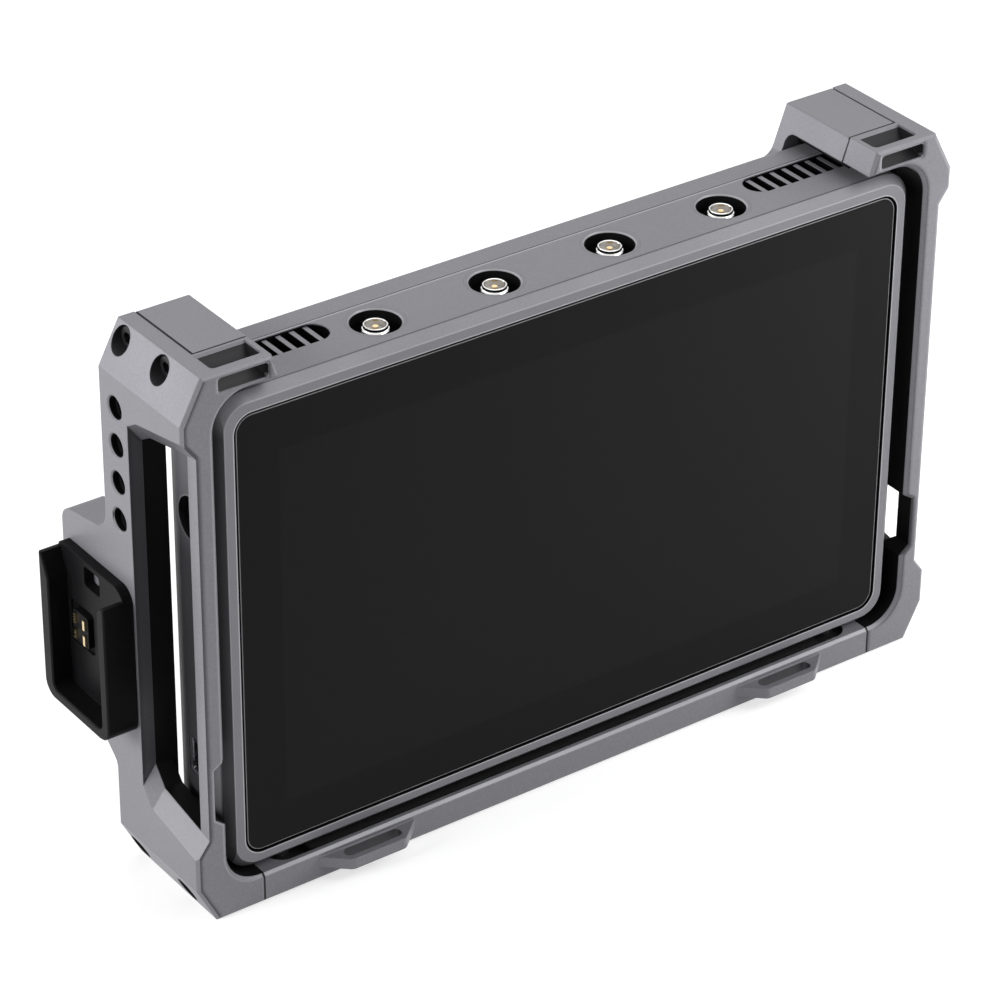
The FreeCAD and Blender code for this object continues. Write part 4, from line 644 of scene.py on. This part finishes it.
def tube_faces(rows, columns, closed_path):
    """Quads of a closed profile carried along a path; an open path has no faces at its ends."""
    row = np.arange(rows if closed_path else rows - 1)[:, None]
    column = np.arange(columns)[None, :]
    following = (row + 1) % rows
    beside = (column + 1) % columns
    quads = np.stack([row * columns + column, row * columns + beside, following * columns + beside,
                      following * columns + column], axis=-1)
    return quads.reshape(-1, 4)


def turned(spots, profile, hexagon, around):
    """Turned pieces: a closed profile carried round the upright axis at each spot.
    A point of the profile at radius r goes round a circle of that radius. Where the hexagon mark of the point
    is one, r is divided by the cosine of the angle from the middle of the nearest flat, which gives a
    six-sided rod."""
    turn = np.linspace(0.0, 2 * math.pi, around, endpoint=False)[:, None]
    sixth = math.pi / 3
    flat = 1.0 / np.cos((turn + sixth / 2) % sixth - sixth / 2)
    out = np.array(profile)[None, :, 0] * np.where(np.array(hexagon)[None, :] == 1, flat, 1.0)
    level = np.broadcast_to(np.array(profile)[None, :, 1], out.shape)
    block = np.stack([out * np.cos(turn), out * np.sin(turn), level], axis=-1).reshape(-1, 3)
    faces = tube_faces(around, len(profile), True)
    points = np.concatenate([block + np.array(spot) for spot in spots])
    quads = np.concatenate([faces + step * len(block) for step in range(len(spots))])
    return points, quads


def screw_ridges(spots, axis, radius, height, pitch, length, around):
    """Threads: a small triangle carried along a helix.
    At turn a the path lies at radius r, angle a and distance pitch * a / full turn along the axis. The
    triangle has its base on the wall and its tip one ridge height off it, and shrinks to a point over the
    first and last half turn."""
    half_base = 0.42
    corners = 3
    steps = int(length / pitch * around)
    turn = np.linspace(0.0, 2 * math.pi * length / pitch, steps)
    fade = np.clip(np.minimum(turn, turn[-1] - turn) / math.pi, 0.0, 1.0)
    out = np.stack([np.full(steps, radius), radius + height * fade, np.full(steps, radius)], axis=1)
    climb = (turn * pitch / (2 * math.pi))[:, None]
    along = np.stack([-half_base * fade, np.zeros(steps), half_base * fade], axis=1) * pitch + climb
    across = [i for i in range(3) if i != axis]
    faces = tube_faces(steps, corners, False)
    points, quads = [], []
    for spot, direction in spots:
        block = np.zeros((steps, corners, 3))
        block[..., across[0]] = out * np.cos(turn)[:, None]
        block[..., across[1]] = out * np.sin(turn)[:, None]
        block[..., axis] = along * direction
        quads.append(faces + len(points) * steps * corners)
        points.append(block.reshape(-1, 3) + np.array(spot))
    return np.concatenate(points), np.concatenate(quads)


def corner_fillets(corners, first, second, along, radius, around):
    """Rounded inner corners: a wedge with a hollow side carried along a straight edge.
    Across the edge, the wedge is the corner point and a quarter circle of the given radius whose centre lies
    one radius from both walls, and it shrinks to a twentieth at the far end. Each corner gives its point, the
    two directions of its walls and the far end of the edge."""
    far_share = 0.05
    ring = around + 1
    rim = np.arange(ring)
    turn = np.linspace(0.0, math.pi / 2, around)
    out = np.concatenate([[0.0], radius * (1 - np.cos(turn))])
    up = np.concatenate([[0.0], radius * (1 - np.sin(turn))])
    points, faces = [], []
    for place, (side, rise), end in corners:
        near = np.tile(np.array(place), (ring, 1))
        far = near.copy()
        far[:, along] = end
        for section, share in ((near, 1.0), (far, far_share)):
            section[:, first] += side * share * out
            section[:, second] += rise * share * up
        start = len(points) * 2 * ring
        faces += (start + tube_faces(2, ring, False)).tolist()
        faces += [(start + rim[::-1]).tolist(), (start + ring + rim).tolist()]
        points.append(np.concatenate([near, far]))
    return np.concatenate(points), faces


class FIELDMONITOR_OT_shells(bpy.types.Operator):
    """Finish the three shells of the monitor, the grilles and the power button."""
    bl_idname = "field_monitor.shells"
    bl_label = "Shells"

    def execute(self, context):
        dress(["front_bezel", "middle_housing", "rear_cover", "left_grille", "right_grille", "cover_screws",
               "power_button"])
        return {"FINISHED"}


class FIELDMONITOR_OT_screen(bpy.types.Operator):
    """Finish the glass and what lies behind it."""
    bl_idname = "field_monitor.screen"
    bl_label = "Screen"

    def execute(self, context):
        dress(["cover_glass", "glass_gasket", "lcd_panel", "backlight"])
        return {"FINISHED"}


class FIELDMONITOR_OT_cage(bpy.types.Operator):
    """Finish the clamp cage, its pads and screws, and round the corners of the strap passages."""
    bl_idname = "field_monitor.cage"
    bl_label = "Cage"

    def execute(self, context):
        dress(["left_side_frame", "right_side_frame", "bottom_bar", "left_clamp_jaw", "right_clamp_jaw",
               "left_jaw_pad", "right_jaw_pad", "bar_pad", "pad_screws", "clamp_jaw_screws",
               "bottom_bar_screws", "monitor_screws"])
        lug_reach, set_back, deep = 0.005, 0.0024, 0.0018
        inner, outer, low, high = 0.0808, 0.0930, 0.1302, 0.1335
        mouth_radius, top_radius, around = 0.0010, 0.0012, 8
        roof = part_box("left_side_frame")[1][2]
        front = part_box("bottom_bar")[0][1] + lug_reach
        mouth, top = [], []
        for side in (-1, 1):
            for place, turn in ((inner, side), (outer, -side)):
                mouth.append(((side * place, front, low), (turn, 1), front + deep))
                mouth.append(((side * place, front, high), (turn, -1), front + deep))
                top.append(((side * place, front + set_back, roof), (turn, 1), high))
        points, faces = corner_fillets(mouth, X, Z, Y, mouth_radius, around)
        add_piece("passage_mouth_corners", points, faces, "cage_grey", smooth=False)
        points, faces = corner_fillets(top, X, Y, Z, top_radius, around)
        add_piece("passage_top_corners", points, faces, "cage_grey", smooth=False)
        return {"FINISHED"}


class FIELDMONITOR_OT_battery_plate(bpy.types.Operator):
    """Finish the slide-in battery plate and its contacts."""
    bl_idname = "field_monitor.battery_plate"
    bl_label = "Battery plate"

    def execute(self, context):
        dress(["battery_plate", "contact_block", "contact_blades", "plate_screws"])
        return {"FINISHED"}


class FIELDMONITOR_OT_sockets(bpy.types.Operator):
    """Finish the sockets, turn the stepped bodies of the antenna sockets and narrow their wells with lips."""
    bl_idname = "field_monitor.sockets"
    bl_label = "Sockets"

    def execute(self, context):
        dress(["antenna_sockets", "socket_insulators", "socket_pins", "socket_nuts", "audio_jack",
               "usb_socket"])
        sizes = context.scene.thread_sizes
        spots = [mount["pos_m"] for mount in SOCKETS]
        crest = SOCKETS[0]["dims"]["r_mm"] * MM
        root = crest - sizes.socket_depth
        shoulder = -sizes.rim_height
        bore, pin_hole, seat, fine = 0.0023, 0.0007, -0.0050, 0.0001
        flange, flange_top, flange_low, stem, stem_low = 0.00391, -0.0052, -0.0064, 0.0025, -0.0109
        body_steps, lip_steps = 72, 96
        profile = [(bore, -1.5 * fine), (bore + 0.5 * fine, -0.5 * fine), (bore + 1.5 * fine, 0.0),
                   (sizes.rim - 1.5 * fine, 0.0), (sizes.rim - 0.5 * fine, -0.5 * fine),
                   (sizes.rim, -1.5 * fine), (sizes.rim, shoulder), (crest - 2 * fine, shoulder - fine),
                   (crest, shoulder - 3 * fine), (crest, shoulder - 6 * fine), (root, shoulder - 8 * fine),
                   (root, flange_top), (flange, flange_top), (flange, flange_low), (stem, flange_low),
                   (stem, stem_low), (pin_hole, stem_low), (pin_hole, seat), (bore, seat)]
        hexagon = [1 if radius == flange else 0 for radius, level in profile]
        points, faces = turned(spots, profile, hexagon, body_steps)
        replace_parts(add_piece("antenna_socket_bodies", points, faces, "chrome", smooth=False),
                    "antenna_sockets")
        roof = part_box("middle_housing")[1][2]
        spots = [(spot[0], spot[1], roof) for spot in spots]
        outer, brim, brim_low, cover, lip_low = 0.00619, 0.0067, -0.0001, 0.000006, -0.0028
        profile = [(sizes.well, -sizes.well_break), (sizes.well + sizes.well_break, cover), (brim, cover),
                   (brim, brim_low), (outer, brim_low), (outer, lip_low), (sizes.well, lip_low)]
        points, faces = turned(spots, profile, [0] * len(profile), lip_steps)
        add_piece("socket_well_lips", points, faces, "housing_grey", smooth=False)
        return {"FINISHED"}


class FIELDMONITOR_OT_inside(bpy.types.Operator):
    """Finish the boards, plates and fans inside."""
    bl_idname = "field_monitor.inside"
    bl_label = "Inside"

    def execute(self, context):
        dress(["mid_plate", "mid_plate_screws", "main_board", "board_standoffs", "board_screws", "processors",
               "heat_sink", "radio_module", "left_fan_housing", "right_fan_housing", "left_fan_rotor",
               "right_fan_rotor", "power_switch", "base_inserts"])
        return {"FINISHED"}


class FIELDMONITOR_OT_threads(bpy.types.Operator):
    """Cut threads into the accessory holes and the tripod hole, and onto the antenna sockets."""
    bl_idname = "field_monitor.threads"
    bl_label = "Threads"

    def execute(self, context):
        sizes = context.scene.thread_sizes
        hole_ridge = {"height": -sizes.depth, "pitch": sizes.pitch, "around": sizes.around}
        holes = [mount for name, mount in MOUNTS.items() if "_thread_" in name]
        spots = [(mount["pos_m"], -mount["axis"][0]) for mount in holes]
        radius = holes[0]["dims"]["r_mm"] * MM
        length = holes[0]["dims"]["length_mm"] * MM
        points, faces = screw_ridges(spots, X, radius, length=length, **hole_ridge)
        add_piece("accessory_threads", points, faces, "cage_grey", finish="lined_frame")
        tripod = MOUNTS["tripod_thread"]
        length = tripod["dims"]["length_mm"] * MM
        points, faces = screw_ridges([(tripod["pos_m"], 1)], Z, radius, length=length, **hole_ridge)
        add_piece("tripod_thread_ridge", points, faces, "cage_grey")
        start, length = 0.0016, 0.0034
        spots = [((x, y, z - start), -1) for x, y, z in (mount["pos_m"] for mount in SOCKETS)]
        root = SOCKETS[0]["dims"]["r_mm"] * MM - sizes.socket_depth
        points, faces = screw_ridges(spots, Z, root, sizes.socket_depth, sizes.socket_pitch, length,
                                     sizes.around)
        add_piece("antenna_threads", points, faces, "chrome")
        return {"FINISHED"}


def background_rays(tree):
    """One for the rays that show the background: straight from the camera, by gloss and through glass."""
    path = tree.nodes.new("ShaderNodeLightPath").outputs
    total = path["Is Camera Ray"]
    for kind in ("Is Glossy Ray", "Is Transmission Ray"):
        step = tree.nodes.new("ShaderNodeMath")
        step.operation = "MAXIMUM"
        tree.links.new(total, step.inputs[0])
        tree.links.new(path[kind], step.inputs[1])
        total = step.outputs[0]
    return total


def lamp(name, place, aim, size, power, gloss=True):
    """A large soft lamp turned towards a point; without gloss it isn't mirrored in the surfaces."""
    data = bpy.data.lights.new(name, "AREA")
    data.shape = "DISK"
    data.size = size
    data.energy = power
    item = bpy.data.objects.new(name, data)
    item.location = place
    item.visible_glossy = gloss
    item.rotation_euler = (Vector(aim) - Vector(place)).to_track_quat("-Z", "Y").to_euler()
    bpy.context.scene.collection.objects.link(item)


def light_room(scene, look):
    """An even white room, drawn white as a background and dimmer as light."""
    world = bpy.data.worlds.new("studio")
    scene.world = world
    world.use_nodes = True
    tree = world.node_tree
    background = tree.nodes["Background"]
    background.inputs["Color"].default_value = WHITE
    strength = tree.nodes.new("ShaderNodeMath")
    strength.operation = "MAXIMUM"
    strength.inputs[1].default_value = look.ambient
    tree.links.new(background_rays(tree), strength.inputs[0])
    tree.links.new(strength.outputs[0], background.inputs["Strength"])


def lay_floor(scene, look):
    """A pale matt floor that keeps the shadow, drawn lighter than it is lit."""
    half, broad_scale = 4.0, 6.0
    pale, paler = (0.54, 0.54, 0.54, 1), (0.56, 0.56, 0.56, 1)
    corners = [(-half, -half, 0), (half, -half, 0), (half, half, 0), (-half, half, 0)]
    mesh = bpy.data.meshes.new("floor")
    mesh.from_pydata(corners, [], [(0, 1, 2, 3)])
    floor = bpy.data.objects.new("floor", mesh)
    scene.collection.objects.link(floor)
    graph = Graph("white_floor")
    colour = graph.mix(graph.noise(broad_scale), pale, paler)
    graph.join(colour, graph.shader.inputs["Base Color"])
    graph.shader.inputs["Roughness"].default_value = 1.0
    graph.shader.inputs["Specular IOR Level"].default_value = 0.0
    graph.shader.inputs["Emission Color"].default_value = WHITE
    lift = graph.weaker(background_rays(graph.tree), look.lift)
    graph.join(lift, graph.shader.inputs["Emission Strength"])
    mesh.materials.append(graph.material)


def aim_camera(scene, look):
    """The camera of the photograph: its place, and its right, up and back directions."""
    place = Vector((-0.4737, -0.6382, 0.5462))
    right = Vector((0.8122, -0.5833, 0.0069))
    up = Vector((0.2974, 0.4243, 0.8553))
    back = Vector((-0.5019, -0.6926, 0.5181))
    data = bpy.data.cameras.new("camera")
    data.sensor_width = 36.0
    data.lens = look.lens
    data.clip_start = 0.05
    camera = bpy.data.objects.new("camera", data)
    camera.matrix_world = Matrix.Translation(place) @ Matrix((right, up, back)).transposed().to_4x4()
    scene.collection.objects.link(camera)
    scene.camera = camera


class FIELDMONITOR_OT_stage(bpy.types.Operator):
    """Set up floor, soft light and camera."""
    bl_idname = "field_monitor.stage"
    bl_label = "Stage"

    def execute(self, context):
        scene = context.scene
        look = scene.stage_look
        scene.view_settings.view_transform = "Standard"
        light_room(scene, look)
        lay_floor(scene, look)
        middle, right_side, top_front = (0, 0, 0.07), (0.09, 0, 0.07), (0, 0, 0.1)
        lamp("key_lamp", (-1.22, 0.24, 0.52), middle, 0.8, look.key, gloss=False)
        lamp("rim_lamp", (-0.85, 0.85, 0.28), middle, 0.5, look.rim)
        lamp("front_lamp", (0.38, -0.17, 0.15), right_side, 0.26, look.front, gloss=False)
        lamp("top_lamp", (0.4, 0.55, 1.2), middle, 1.2, look.fill)
        lamp("bevel_lamp", (0.60, -0.62, 0.95), top_front, 0.7, look.bevel)
        aim_camera(scene, look)
        return {"FINISHED"}


class FIELDMONITOR_PT_panel(bpy.types.Panel):
    """Buttons for every piece, in the sidebar."""
    bl_idname = "FIELDMONITOR_PT_panel"
    bl_label = "Field monitor"
    bl_space_type = "VIEW_3D"
    bl_region_type = "UI"
    bl_category = "Field monitor"

    def draw(self, context):
        for step in STEPS:
            self.layout.operator(step.bl_idname)


LOOKS = {"cage_look": CageLook, "screen_look": ScreenLook, "thread_sizes": ThreadSizes,
         "stage_look": StageLook}
STEPS = (FIELDMONITOR_OT_shells, FIELDMONITOR_OT_screen, FIELDMONITOR_OT_cage,
         FIELDMONITOR_OT_battery_plate, FIELDMONITOR_OT_sockets, FIELDMONITOR_OT_inside,
         FIELDMONITOR_OT_threads, FIELDMONITOR_OT_stage)


def register():
    """Register every class and hang the property groups on the scene."""
    for item in tuple(LOOKS.values()) + STEPS + (FIELDMONITOR_PT_panel,):
        bpy.utils.register_class(item)
    for name, group in LOOKS.items():
        setattr(bpy.types.Scene, name, PointerProperty(type=group))


def unregister():
    """Take everything away again."""
    for name in LOOKS:
        delattr(bpy.types.Scene, name)
    for item in (FIELDMONITOR_PT_panel,) + STEPS[::-1] + tuple(LOOKS.values()):
        bpy.utils.unregister_class(item)


def main():
    """Build every piece in order."""
    register()
    FINISHES.update(finishes(bpy.context.scene))
    bpy.ops.field_monitor.shells()
    bpy.ops.field_monitor.screen()
    bpy.ops.field_monitor.cage()
    bpy.ops.field_monitor.battery_plate()
    bpy.ops.field_monitor.sockets()
    bpy.ops.field_monitor.inside()
    bpy.ops.field_monitor.threads()
    bpy.ops.field_monitor.stage()


if __name__ == "__main__":
    main()
